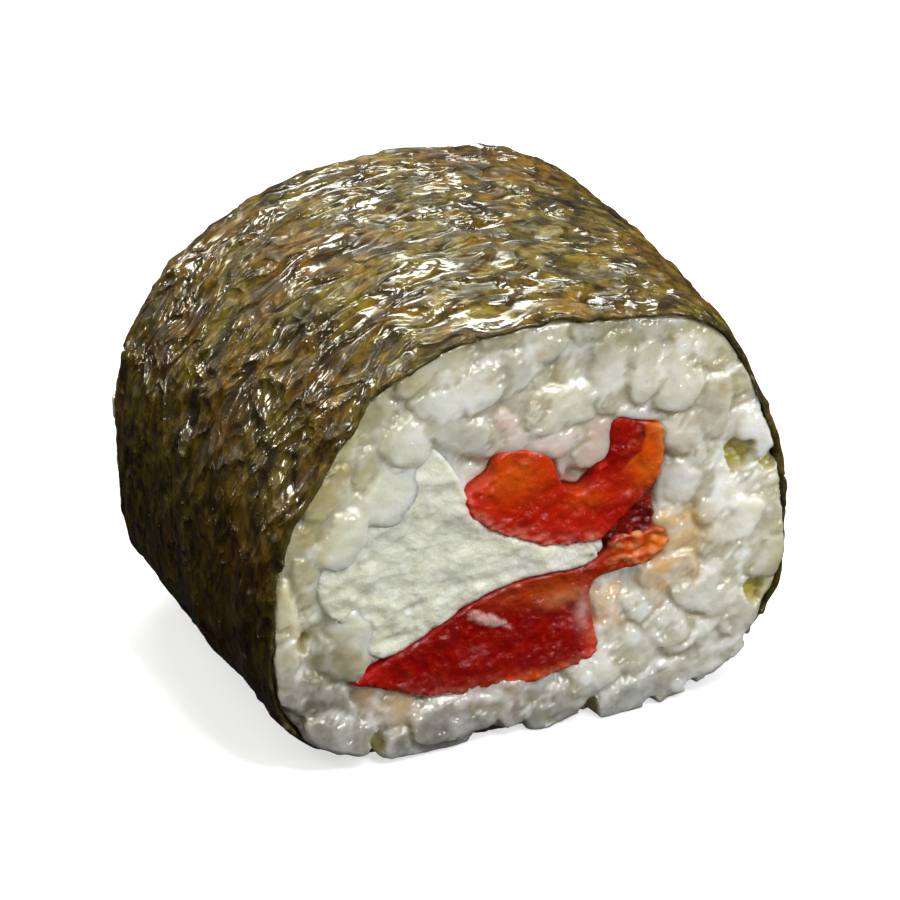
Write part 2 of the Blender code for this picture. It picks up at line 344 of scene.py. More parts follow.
def cheese_material():
    m = Nodes("cream_cheese_look")
    s = m.shader
    curd = m.noise(430.0, 3.0, 0.55, None, 0.3)
    crumb = m.noise(1250.0, 3.0, 0.60)
    tint = m.attribute("tint")
    colour = m.mix(m.ramp(curd, 0.46, 0.68, 0.0, 0.45), tint, (0.68, 0.70, 0.50))
    # the crumb noise also raises the bump, so this whitening sits on the crests: partly the cheese's own whiter
    # crumbs, partly painted highlight
    colour = m.mix(m.ramp(crumb, 0.50, 0.72, 0.0, 0.55), colour, (0.90, 0.905, 0.86))
    m.set(s.inputs["Base Color"], colour)
    s.inputs["Subsurface Weight"].default_value = 0.6
    s.inputs["Subsurface Radius"].default_value = (1.0, 0.9, 0.7)
    s.inputs["Subsurface Scale"].default_value = 0.0009
    m.set(s.inputs["Roughness"], m.ramp(crumb, 0.35, 0.65, 0.34, 0.58))
    s.inputs["Coat Weight"].default_value = 0.12
    s.inputs["Coat Roughness"].default_value = 0.25
    first = m.bump(crumb, 0.00026, 0.7)
    m.set(s.inputs["Normal"], m.bump(m.noise(4200.0, 3.0, 0.6), 0.00004, 0.5, first))
    return m.material


def pepper_material():
    m = Nodes("red_pepper_look")
    s = m.shader
    tint = m.attribute("tint")
    flesh = m.noise(700.0, 4.0, 0.6, None, 0.3)
    cell = m.noise(3000.0, 3.0, 0.6)
    colour = m.mix(m.ramp(flesh, 0.46, 0.68, 0.0, 0.22), tint, (0.56, 0.024, 0.002))
    colour = m.mix(m.ramp(cell, 0.68, 0.78, 0.0, 0.15), colour, (0.74, 0.12, 0.04))
    colour = m.mix(m.ramp(flesh, 0.46, 0.34, 0.0, 0.35), colour, (0.22, 0.003, 0.001))
    m.set(s.inputs["Base Color"], colour)
    s.inputs["Subsurface Weight"].default_value = 0.22
    s.inputs["Subsurface Radius"].default_value = (1.0, 0.20, 0.06)
    s.inputs["Subsurface Scale"].default_value = 0.0006
    m.set(s.inputs["Roughness"], m.ramp(m.noise(1300.0, 3.0, 0.6), 0.35, 0.65, 0.16, 0.36))
    s.inputs["Specular IOR Level"].default_value = 0.12
    m.set(s.inputs["Coat Weight"], m.ramp(m.noise(620.0, 3.0, 0.6), 0.45, 0.57, 0.14, 1.0))
    s.inputs["Coat Roughness"].default_value = 0.05
    first = m.bump(m.noise(1200.0, 3.0, 0.5), 0.00026, 0.7)
    m.set(s.inputs["Normal"], m.bump(cell, 0.00003, 0.5, first))
    m.set(s.inputs["Coat Normal"], m.bump(m.noise(1700.0, 3.0, 0.6), 0.00022, 0.8, first))
    return m.material


# ---------------------------------------------------------------- fillings: outlines

# Outlines on the near cut face, in millimetres about the section's centre
UPPER = ((-4.7, 3.8), (-4.2, 2.6), (-3.0, 1.3), (-1.5, 0.4), (0.4, -0.5), (1.5, -1.1), (3.4, -1.4),
         (5.4, -1.5), (6.6, -1.9), (7.8, -2.0), (9.0, -1.9), (9.9, -1.4), (9.9, 0.0), (9.7, 1.0),
         (10.0, 2.3), (10.4, 4.2),
         (10.7, 6.3), (9.8, 6.7), (8.6, 7.2), (7.5, 7.7), (6.5, 7.7), (6.2, 6.4), (6.2, 4.9),
         (5.4, 4.2), (4.9, 2.9), (4.1, 2.5), (3.0, 3.1), (2.3, 4.2), (2.0, 5.3), (1.1, 6.2),
         (-0.2, 6.7), (-1.7, 6.8), (-2.4, 6.2), (-2.6, 5.2), (-3.5, 4.6))
LOWER = ((-13.3, -8.7), (-12.4, -8.3), (-11.2, -7.8), (-9.6, -7.1), (-8.0, -6.6), (-6.8, -5.9),
         (-5.6, -5.4), (-4.3, -4.6), (-2.2, -4.0), (0.0, -3.6), (2.0, -3.5), (3.8, -3.6),
         (5.2, -3.3), (6.2, -2.6), (6.4, -1.9), (7.4, -1.6), (9.0, -1.5), (10.3, -1.6), (11.0, -2.6),
         (10.2, -3.6), (8.9, -4.1), (7.3, -4.3), (6.2, -4.4), (5.2, -4.9), (5.0, -6.0), (5.3, -8.5),
         (5.5, -10.5), (4.0, -11.0), (2.4, -11.4), (0.9, -11.7), (-0.7, -11.6), (-2.2, -11.4),
         (-3.7, -11.3), (-5.4, -11.4), (-7.5, -11.0), (-9.0, -10.5), (-10.5, -9.8), (-12.0, -9.2))
CHEESE = ((-4.4, 3.6), (-5.0, 5.3), (-6.2, 7.4), (-7.9, 8.9), (-9.9, 7.8), (-11.4, 6.1),
          (-12.5, 4.7), (-13.7, 2.9), (-14.9, 1.1), (-15.5, -0.7), (-15.1, -2.5), (-14.0, -3.7),
          (-13.0, -4.5), (-12.4, -5.6), (-11.5, -7.0), (-9.8, -7.15), (-8.0, -6.45), (-6.8, -5.75),
          (-5.6, -5.25), (-4.3, -4.45), (-2.2, -3.85), (0.0, -3.45), (2.0, -3.35), (3.7, -3.45),
          (5.3, -3.1), (5.4, -2.3), (4.8, -1.5), (3.3, -1.45), (1.3, -1.1), (0.2, -0.5),
          (-1.7, 0.4), (-3.1, 1.4), (-4.2, 2.6))
OUTLINES = {"pepper_upper": UPPER, "pepper_lower": LOWER, "cream_cheese": CHEESE}


def resample(outline, step):
    """Even points round a closed Catmull-Rom curve through the outline."""
    p = np.array(outline, float)
    n = len(p)
    u = np.linspace(0, 1, 12, endpoint=False)[:, None]
    fine = []
    for i in range(n):
        a, b, c, d = p[i - 1], p[i], p[(i + 1) % n], p[(i + 2) % n]
        fine.append(0.5 * (2 * b + (c - a) * u + (2 * a - 5 * b + 4 * c - d) * u * u
                           + (3 * b - a - 3 * c + d) * u ** 3))
    fine = np.concatenate(fine)
    seg = np.hypot(*(np.roll(fine, -1, 0) - fine).T)
    at = np.concatenate([[0], np.cumsum(seg)])
    count = int(at[-1] / step)
    want = np.arange(count) * at[-1] / count
    closed = np.vstack([fine, fine[:1]])
    return np.stack([np.interp(want, at, closed[:, k]) for k in (0, 1)], -1)


def drifted(points, drift, t):
    """The outline's points moved as the strip wanders, t of the way along the roll."""
    pivot = np.array(drift[:2])
    turn = math.radians(drift[4] * t)
    size = 1 + drift[5] * t + 0.012 * math.sin(9.0 * t)
    shift = np.array([drift[2] * t + 0.18 * math.sin(7.0 * t + pivot[1]) - 0.18 * math.sin(pivot[1]),
                      drift[3] * t + 0.15 * math.sin(5.0 * t)])
    q = (points - pivot) * size
    c, s = math.cos(turn), math.sin(turn)
    return np.stack([q[:, 0] * c - q[:, 1] * s, q[:, 0] * s + q[:, 1] * c], -1) + pivot + shift


def undrifted(points, drift, t):
    """The reverse of drifted, so that both cut faces can be coloured alike."""
    pivot = np.array(drift[:2])
    turn = math.radians(drift[4] * t)
    size = 1 + drift[5] * t + 0.012 * math.sin(9.0 * t)
    shift = np.array([drift[2] * t + 0.18 * math.sin(7.0 * t + pivot[1]) - 0.18 * math.sin(pivot[1]),
                      drift[3] * t + 0.15 * math.sin(5.0 * t)])
    q = points - pivot - shift
    c, s = math.cos(-turn), math.sin(-turn)
    return np.stack([q[:, 0] * c - q[:, 1] * s, q[:, 0] * s + q[:, 1] * c], -1) / size + pivot


def outline_distance(points, outline):
    """Signed distance of points to a closed outline, negative inside, and the nearest share."""
    a = outline
    b = np.roll(outline, -1, 0)
    out = np.empty(len(points))
    for k in range(0, len(points), 4000):
        p = points[k:k + 4000, None, :]
        e = (b - a)[None]
        t = np.clip(((p - a) * e).sum(-1) / np.maximum((e * e).sum(-1), 1e-12), 0, 1)
        d = np.sqrt(((p - a - e * t[..., None]) ** 2).sum(-1)).min(1)
        y, x = p[..., 1], p[..., 0]
        cross = ((a[:, 1] > y) != (b[:, 1] > y)) & (
            x < (b[:, 0] - a[:, 0]) * (y - a[:, 1]) / np.where(b[:, 1] == a[:, 1], 1e-12, b[:, 1] - a[:, 1]) + a[:, 0])
        out[k:k + 4000] = np.where(cross.sum(1) % 2 == 1, -d, d)
    return out


FINE = {name: resample(o, 0.3) for name, o in OUTLINES.items()}


def filling_distance(points, end, names=("pepper_upper", "pepper_lower", "cream_cheese")):
    """Distance of section points to the nearest filling at a cut face, negative inside it."""
    return np.min([outline_distance(points, drifted(FINE[n], DRIFT[n], float(end)))
                   for n in names], axis=0)


# ---------------------------------------------------------------- cut face level

def face_level(x, z, end):
    """How far inside the cut face the food's surface lies on average, at a section point."""
    reach = np.minimum(1.0, np.hypot(x / 19.0, z / 15.5))
    angle = np.degrees(np.arctan2(z, x)) + (0.0 if end == 0 else 40.0)
    low = np.maximum(low_side(angle), np.where(x > 0, low_side(angle - 30.0), 0.0))
    p = np.stack(np.broadcast_arrays(x / 7.5, z / 7.5, 2.0 + 5.0 * end), -1)
    return 0.62 - 0.62 * low * reach ** 3 + 0.16 * noise3(p, 3)


# ---------------------------------------------------------------- colours

def mixed(base, blobs, points):
    """Base colour with soft spots of other colours: (x, z, radius x, radius z, colour, strength)."""
    out = np.tile(np.array(base, float), (len(points), 1))
    for x, z, rx, rz, colour, strength in blobs:
        w = strength * np.exp(-(((points[:, 0] - x) / rx) ** 2 + ((points[:, 1] - z) / rz) ** 2))
        out += (np.array(colour) - out) * np.clip(w, 0, 1)[:, None]
    return out


RED, DEEP, ORANGE, AMBER = (0.50, 0.010, 0.002), (0.24, 0.002, 0.001), (0.66, 0.080, 0.002), (0.74, 0.20, 0.010)
BLUSH = (0.78, 0.42, 0.34)
UPPER_SPOTS = ((-1.0, 5.0, 2.6, 1.9, (0.68, 0.10, 0.004), 0.85), (9.4, 4.9, 1.25, 2.9, (0.70, 0.17, 0.008), 0.95),
               (10.4, 6.4, 0.8, 1.3, (0.78, 0.36, 0.09), 0.7), (6.9, 6.2, 1.05, 2.2, DEEP, 0.95),
               (4.6, 1.9, 1.6, 0.8, ORANGE, 0.7), (2.6, 0.2, 4.6, 1.0, (0.44, 0.012, 0.003), 0.8),
               (9.3, 0.7, 0.9, 1.3, (0.12, 0.002, 0.002), 0.95),
               (8.1, -0.8, 1.4, 1.0, (0.11, 0.002, 0.002), 0.97), (6.4, -1.6, 1.2, 0.5, (0.14, 0.002, 0.002), 0.9), (-3.8, 3.4, 1.0, 1.0, (0.62, 0.03, 0.01), 0.8),
               (8.45, 6.35, 0.30, 0.36, (0.035, 0.006, 0.004), 1.0))
LOWER_SPOTS = ((1.6, -4.6, 3.6, 0.9, (0.42, 0.060, 0.006), 0.85), (8.8, -2.9, 2.4, 1.1, ORANGE, 0.95),
               (10.2, -2.3, 0.9, 0.9, AMBER, 0.8), (8.2, -1.5, 2.0, 0.35, (0.30, 0.006, 0.004), 0.9),
               (-11.6, -8.3, 2.2, 0.7, (0.42, 0.004, 0.002), 0.9), (5.0, -9.4, 0.7, 1.6, (0.66, 0.045, 0.012), 0.8),
               (-3.0, -9.0, 5.5, 1.8, DEEP, 0.75), (2.6, -8.2, 2.0, 1.6, DEEP, 0.5),
               (1.0, -11.3, 3.0, 0.5, ORANGE, 0.6), 
               # the pale pinkish spot at x 4.4, z -6.9 is a painted highlight on the lower pepper
               (4.4, -6.9, 0.5, 1.2, (0.80, 0.45, 0.38), 0.7), (2.9, -5.6, 1.4, 0.6, (0.66, 0.26, 0.10), 0.7))


def smear_on_pepper(xz):
    """A thin torn smear of cheese over the lower pepper's upper half."""
    across = (xz[:, 0] + 2.9) * 0.50 + (xz[:, 1] + 6.0) * 0.87
    along = (xz[:, 0] + 2.9) * 0.87 - (xz[:, 1] + 6.0) * 0.50
    q = np.stack([along / 0.8, across / 0.35, 0 * along], -1)
    return smooth(1.0, 0.55, np.hypot(along / 2.1, across / 0.50) + 0.45 * fbm(q, 2, 33))


def folded_skin(xz):
    """Where the upper pepper's dark skin folds round below its flesh, at the lower right."""
    s = (xz[:, 0] - 9.7) * 0.662 - (xz[:, 1] - 2.1) * 0.749
    return smooth(-0.12, 0.28, s + 0.22 * noise3(np.stack([xz[:, 0] / 0.8, xz[:, 1] / 0.8, 0 * s + 2], -1), 36))


def filling_colour(name, xz, edge, lower_rim):
    if name == "cream_cheese":
        base = mixed((0.73, 0.745, 0.625), ((-13.6, -1.6, 1.6, 2.2, (0.58, 0.59, 0.38), 0.6),
                                          (-9.4, 6.4, 2.0, 1.6, (0.70, 0.69, 0.54), 0.6),
                                          (1.5, -2.4, 3.5, 1.0, (0.86, 0.84, 0.80), 0.7),
                                          (-10.8, -5.8, 1.6, 1.2, (0.66, 0.67, 0.50), 0.5),
                                          (5.0, -2.6, 0.30, 0.16, (0.22, 0.02, 0.03), 0.9),
                                          (4.2, -2.0, 0.25, 0.14, (0.30, 0.04, 0.05), 0.8),
                                          (4.7, -1.8, 0.20, 0.20, (0.30, 0.03, 0.03), 0.8)), xz)
        w = 0.55 * np.exp(-np.maximum(-outline_distance(xz, FINE["pepper_upper"]) * -1, 0) / 0.35)
        w = np.maximum(w, 0.55 * np.exp(-np.maximum(outline_distance(xz, FINE["pepper_lower"]), 0) / 0.35))
        return base + (np.array((0.80, 0.50, 0.42)) - base) * (w * 0.8)[:, None]
    base = mixed((0.42, 0.0075, 0.001) if name == "pepper_upper" else (0.225, 0.0018, 0.0008),
                 UPPER_SPOTS if name == "pepper_upper" else LOWER_SPOTS, xz)
    if name == "pepper_upper":
        border = np.interp(xz[:, 1], (3.4, 4.24, 5.06, 7.24), (7.0, 7.74, 8.75, 9.05))
        right = smooth(-0.16, 0.16, xz[:, 0] - border + 0.12 * noise3(np.stack([xz[:, 1], xz[:, 0], 0 * border], -1) / 0.6, 34))
        amber = np.array((0.58, 0.075, 0.003)) + (np.array((0.72, 0.27, 0.05)) - np.array((0.58, 0.075, 0.003))) \
            * smooth(9.6, 10.8, xz[:, 0] + 0.15 * (xz[:, 1] - 5.0))[:, None]
        horn = np.array((0.27, 0.003, 0.001)) + (amber - np.array((0.27, 0.003, 0.001))) * right[:, None]
        base = base + (horn - base) * (0.92 * smooth(3.0, 4.3, xz[:, 1]) * smooth(5.4, 6.6, xz[:, 0]))[:, None]
        base = base + (np.array((0.035, 0.006, 0.004)) - base) * np.exp(
            -(((xz[:, 0] - 8.75) / 0.26) ** 2 + ((xz[:, 1] - 6.2) / 0.36) ** 2))[:, None]
        fold = folded_skin(xz)
        lines = smooth(0.25, 0.6, fbm(np.stack([xz[:, 0] / 0.7, xz[:, 1] / 0.35, 0 * xz[:, 0] + 6], -1), 2, 35))
        dark = np.array((0.085, 0.0012, 0.0012)) + (np.array((0.42, 0.030, 0.022)) - 0.085) * (0.8 * lines)[:, None]
        base = base + (np.clip(dark, 0.001, 1) - base) * fold[:, None]
    grain = fbm(np.stack([xz[:, 0] / 0.55, xz[:, 1] / 0.45, 0 * xz[:, 0] + 4], -1), 2, 31)
    speck = smooth(-0.45, 0.35, fbm(np.stack([xz[:, 0] / 0.9, xz[:, 1] / 0.4, 0 * xz[:, 0] + 8], -1), 2, 37))
    if name == "pepper_lower":
        lower_rim = lower_rim * 0.5 * smooth(-10.5, -6.0, xz[:, 0])
    else:
        lower_rim = lower_rim * (1 - folded_skin(xz))
    base = base + (np.array((0.70, 0.10, 0.04)) - base) * (0.30 * smooth(0.25, 0.55, grain) * 0.3)[:, None]
    base = base + (np.array((0.66, 0.22, 0.15)) - base) * (0.85 * lower_rim * speck)[:, None]
    if name == "pepper_lower":
        base = base + (np.array((0.84, 0.58, 0.52)) - base) * (0.75 * smear_on_pepper(xz))[:, None]
        flap = smooth(5.6, 7.0, xz[:, 0]) * smooth(-5.2, -4.4, xz[:, 1])
        pale = smooth(-0.1, 0.45, fbm(np.stack([xz[:, 0] / 1.1, xz[:, 1] / 0.6, 0 * xz[:, 0] + 9], -1), 2, 38))
        base = base + (np.array((0.78, 0.36, 0.13)) - base) * (0.75 * flap * pale)[:, None]
    return base


# ---------------------------------------------------------------- fillings: meshes

def make_filling(name, material, step, proud, relief, round_edge):
    """A strip that runs from cut face to cut face: a fine uneven face at each end with
    rounded edges, and a side wall that wanders with the strip."""
    drift = DRIFT[name]
    rim = resample(OUTLINES[name], step)
    if name != "cream_cheese":
        q = np.stack([rim[:, 0] / 0.9, rim[:, 1] / 0.9, np.full(len(rim), 5.0)], -1)
        loose = 0.09 + 0.14 * smooth(6.0, 8.0, rim[:, 0]) * (rim[:, 1] < -1.0)
        rim = rim + loose[:, None] * np.stack([fbm(q, 2, 17), fbm(q, 2, 18)], -1)
    n = len(rim)
    # even points inside the outline
    lo, hi = rim.min(0), rim.max(0)
    gx, gz = np.meshgrid(np.arange(lo[0], hi[0], step), np.arange(lo[1], hi[1], step * 0.87))
    gx[1::2] += step / 2
    inside = np.stack([gx.ravel(), gz.ravel()], -1)
    rng = np.random.default_rng(len(name))
    inside += rng.uniform(-0.12, 0.12, inside.shape) * step
    inside = inside[outline_distance(inside, rim) < -0.6 * step]
    flat = np.vstack([rim, inside])
    edges = [(i, (i + 1) % n) for i in range(n)]
    verts, _, tris, _, _, _ = delaunay_2d_cdt([Vector(p) for p in flat], edges, [], 1, 1e-7)
    if len(verts) != len(flat):
        raise ValueError("outline of " + name + " crosses itself")
    tris = np.array([f for f in tris])
    edge = np.maximum(-outline_distance(flat, rim), 0.0)
    edge[:n] = 0.0
    # where the strip's skin side is: its lower side
    low = flat[:, 1] < (np.interp(flat[:, 0], (-5, 0, 4, 9), (3.4, 1.2, -0.2, 0.8))
                        if name == "pepper_upper" else -8.6)
    rough_rim = np.where(low, np.exp(-(edge / 0.70) ** 2), 0.0) * (0.0 if name == "cream_cheese" else 1.0)
    points, faces, colours = [], [], []
    loops = {}
    count = 0
    for end in (0, 1):
        xz = drifted(flat, drift, float(end))
        level = face_level(xz[:, 0], xz[:, 1], end) - proud
        q = np.stack([flat[:, 0], flat[:, 1], np.full(len(flat), 9.0 * end)], -1)
        bumps = relief * (fbm(q / (2.1, 2.1, 1), 3, 11) * 0.6 + fbm(q / (0.9, 0.9, 1), 2, 12) * 0.24)
        rounding = min(round_edge, 0.32 if name != "cream_cheese" else 0.10) * (1 - np.sqrt(1 - (1 - np.minimum(edge / round_edge, 1)) ** 2))
        if name != "cream_cheese":
            rounding = rounding * (0.35 + 0.65 * smooth(-0.3, 0.4, noise3(q / (1.3, 1.3, 1), 19)))
        else:
            bumps = relief * (fbm(q / (2.6, 2.2, 1), 2, 11) * 0.62 + fbm(q / (1.1, 0.8, 1), 2, 12) * 0.15
                              + 0.30 * smooth(0.1, 0.5, noise3(q / (3.5, 3.5, 1), 13)) * noise3(q / (0.6, 0.6, 1), 20)
                              + 0.16 * np.abs(noise3(q / (0.85, 0.6, 1), 24)))
        depth = level - bumps + rounding
        depth = depth - 0.16 * rough_rim * (0.4 + fbm(q / (0.42, 0.30, 1), 2, 14))
        if name == "pepper_upper":
            depth = depth + folded_skin(flat) * (0.34 + 0.20 * fbm(q / (0.8, 0.5, 1), 2, 22))
        if name != "cream_cheese":
            # the skin's edge stands a little proud of the flesh
            bead = np.exp(-((edge - 0.20) / 0.12) ** 2) * smooth(0.0, 0.5, noise3(q / (1.1, 1.1, 1), 15))
            depth = depth - 0.07 * bead - 0.05 * fbm(q / (0.55, 0.55, 1), 2, 16)
        if name == "pepper_lower":
            depth = depth - 0.10 * smear_on_pepper(flat)
            flap = smooth(5.6, 7.0, flat[:, 0]) * smooth(-5.2, -4.4, flat[:, 1])
            depth = depth - flap * (0.10 + 0.30 * fbm(q / (1.0, 0.6, 1), 3, 23))
        y = -LENGTH / 2 + depth if end == 0 else LENGTH / 2 - depth
        points.append(to_world(xz[:, 0], y, xz[:, 1]))
        faces.append((tris if end == 0 else tris[:, ::-1]) + count)
        colours.append(filling_colour(name, flat, edge, rough_rim))
        loops[end] = (count, y[:n])
        count += len(flat)
    # side wall
    share = np.array([0.0, 0.012, 0.03, 0.06, 0.11, 0.2, 0.35, 0.5, 0.65, 0.8, 0.89, 0.94, 0.97, 0.988, 1.0])
    rows = [np.arange(n) + loops[0][0]]
    for u in share[1:-1]:
        y = loops[0][1] * (1 - u) + loops[1][1] * u
        t = float(np.mean(y)) / LENGTH + 0.5
        ring = drifted(rim, drift, min(max(t, 0.0), 1.0))
        middle = ring.mean(0)
        away = ring - middle
        away /= np.maximum(np.hypot(*away.T), 1e-6)[:, None]
        push = 0.10 * noise3(np.stack([ring[:, 0] / 1.5, y / 1.5, ring[:, 1] / 1.5], -1), 21)
        ring = ring + away * push[:, None]
        points.append(to_world(ring[:, 0], y, ring[:, 1]))
        colours.append(filling_colour(name, rim, np.zeros(n), np.zeros(n)))
        rows.append(np.arange(n) + count)
        count += n
    rows.append(np.arange(n) + loops[1][0])
    for a, b in zip(rows, rows[1:]):
        k = np.arange(n)
        k2 = (k + 1) % n
        faces.append(np.stack([a[k], b[k], a[k2]], -1))
        faces.append(np.stack([a[k2], b[k], b[k2]], -1))
    faces = np.concatenate(faces)
    points = np.concatenate(points)
    # all faces outwards
    tri = points[faces]
    if np.einsum("ij,ij->i", tri[:, 0], np.cross(tri[:, 1], tri[:, 2])).sum() < 0:
        faces = faces[:, ::-1]
    obj = make_object(name + "_look", points, faces, material, np.concatenate(colours))
    recalc(obj)
    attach(obj, "root")
    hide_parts(name)
    return obj


def recalc(obj):
    import bmesh
    bm = bmesh.new()
    bm.from_mesh(obj.data)
    bmesh.ops.recalc_face_normals(bm, faces=bm.faces)
    bm.to_mesh(obj.data)
    bm.free()


# ---------------------------------------------------------------- nori

def make_nori(material):
    around, along = 560, 150
    step = 360.0 / around
    angle = np.arange(around) * step
    angle = np.sort(np.concatenate([angle[np.abs(turned(angle - SEAM_ANGLE)) > 0.5],
                                    [(SEAM_ANGLE + 0.25) % 360, (SEAM_ANGLE - 0.25) % 360]]))
    cols = len(angle)
    front, back = -LENGTH / 2 + sheet_edge(angle, 0), LENGTH / 2 - sheet_edge(angle, 1)
    u = np.linspace(0, 1, along)
    u = u + 0.035 * np.sin(2 * math.pi * u) * -0.5   # closer rows towards both cut edges
    y = front[None] + (back - front)[None] * u[:, None]
    a = np.broadcast_to(angle, y.shape)
    t = y / LENGTH + 0.5
    r = section_radius(a, t) + overlap(a)
    c, s = np.cos(np.radians(a)), np.sin(np.radians(a))
    ring = np.stack([c * 18.0, y, s * 18.0], -1)
    warp = np.stack([noise3(ring / 5.0, 41), noise3(ring / 5.0, 42), noise3(ring / 5.0, 43)], -1)
    grains = noise3(ring / (4.4, 3.6, 4.4), 50)
    broad = noise3(ring / 9.0, 51)
    w = ring + warp * (2.4, 2.0, 2.4)
    fold = 1 - np.abs(noise3(w / (3.6, 2.1, 3.6), 52)) * 2.4
    fold2 = 1 - np.abs(noise3(w / (1.9, 1.15, 1.9), 53)) * 2.2
    small = noise3(w / (1.05, 0.75, 1.05), 54)
    where = smooth(-0.35, 0.35, noise3(ring / (6.0, 5.0, 6.0), 55))
    high = 0.28 * grains + 0.14 * broad + (0.08 + 0.16 * where) * np.clip(fold, -0.5, 1) \
        + 0.10 * (0.4 + where) * np.clip(fold2, -0.5, 1) + 0.06 * small
    high = np.where(high < -0.08, -0.08 + 0.12 * np.tanh((high + 0.08) / 0.12), high)
    # calmer where the sheet lies on the table
    high = high * (0.35 + 0.65 * smooth(-15.2, -12.0, r * s))
    x, z = (r - 0.12 + high) * c, (r - 0.12 + high) * s
    z = np.maximum(z, -AXIS_HEIGHT)
    outer = to_world(x, y, z)
    # rounded cut edges and the inner side
    thick = 0.34
    inner_rows, inner_y = [], []

    def row(rr, yy, aa):
        cc, ss = np.cos(np.radians(aa)), np.sin(np.radians(aa))
        return to_world(rr * cc, yy, np.maximum(rr * ss, -AXIS_HEIGHT + (0.12 if True else 0)))

    base = (r - 0.12 + high)
    depth_rows = [(0.12, -0.05), (0.24, -0.05), (thick, 0.03)]
    first = [row(base[0] - d, y[0] + k, angle) for d, k in depth_rows]
    last = [row(base[-1] - d, y[-1] - k, angle) for d, k in depth_rows]
    inner = []
    for share in (0.03, 0.08, 0.2, 0.5, 0.8, 0.92, 0.97):
        i = int(round(share * (along - 1)))
        inner.append(row(r[i] - 0.12 - thick, y[i], angle))
    # rows in order: from the inside middle out over the front edge, along, and back in
    rows = inner[:4][::-1] + first[::-1] + [outer[i] for i in range(along)] + last + inner[4:][::-1]
    points = np.concatenate(rows)
    total = len(rows)
    faces = grid_faces(total, cols, True)
    # close the loop on the inside
    last_row, first_row = (total - 1) * cols, 0
    j = np.arange(cols)
    j2 = (j + 1) % cols
    faces = np.concatenate([faces, np.stack([last_row + j, last_row + j2, first_row + j2, first_row + j], -1)])
    crease = np.zeros((total, cols))
    rim = np.zeros((total, cols))
    top = 7
    # the relief's height; the material paints shade into its low parts
    crease[top:top + along] = (high - 0.08) / 0.25
    edge_mm = np.minimum(y - front[None], back[None] - y)
    rim[top:top + along] = 0.6 * np.exp(-edge_mm / 0.15)
    rim[:top] = rim[top + along:] = 0.6
    # painted shade on the sheet's left side: the material darkens its colour there and thins its coat
    dim = np.zeros((total, cols))
    left = smooth(0.35, -0.55, np.sin(np.radians(angle + 14.0)) * 0.9) * 0.70
    dim[:] = left[None] * (0.65 + 0.35 * smooth(-0.3, 0.3, 1.0))
    obj = make_object("nori_look", points, faces, material, None,
                      {"crease": crease, "rim": rim, "dim": dim})
    recalc(obj)
    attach(obj, "root")
    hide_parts("nori")
    return obj


# ---------------------------------------------------------------- rice

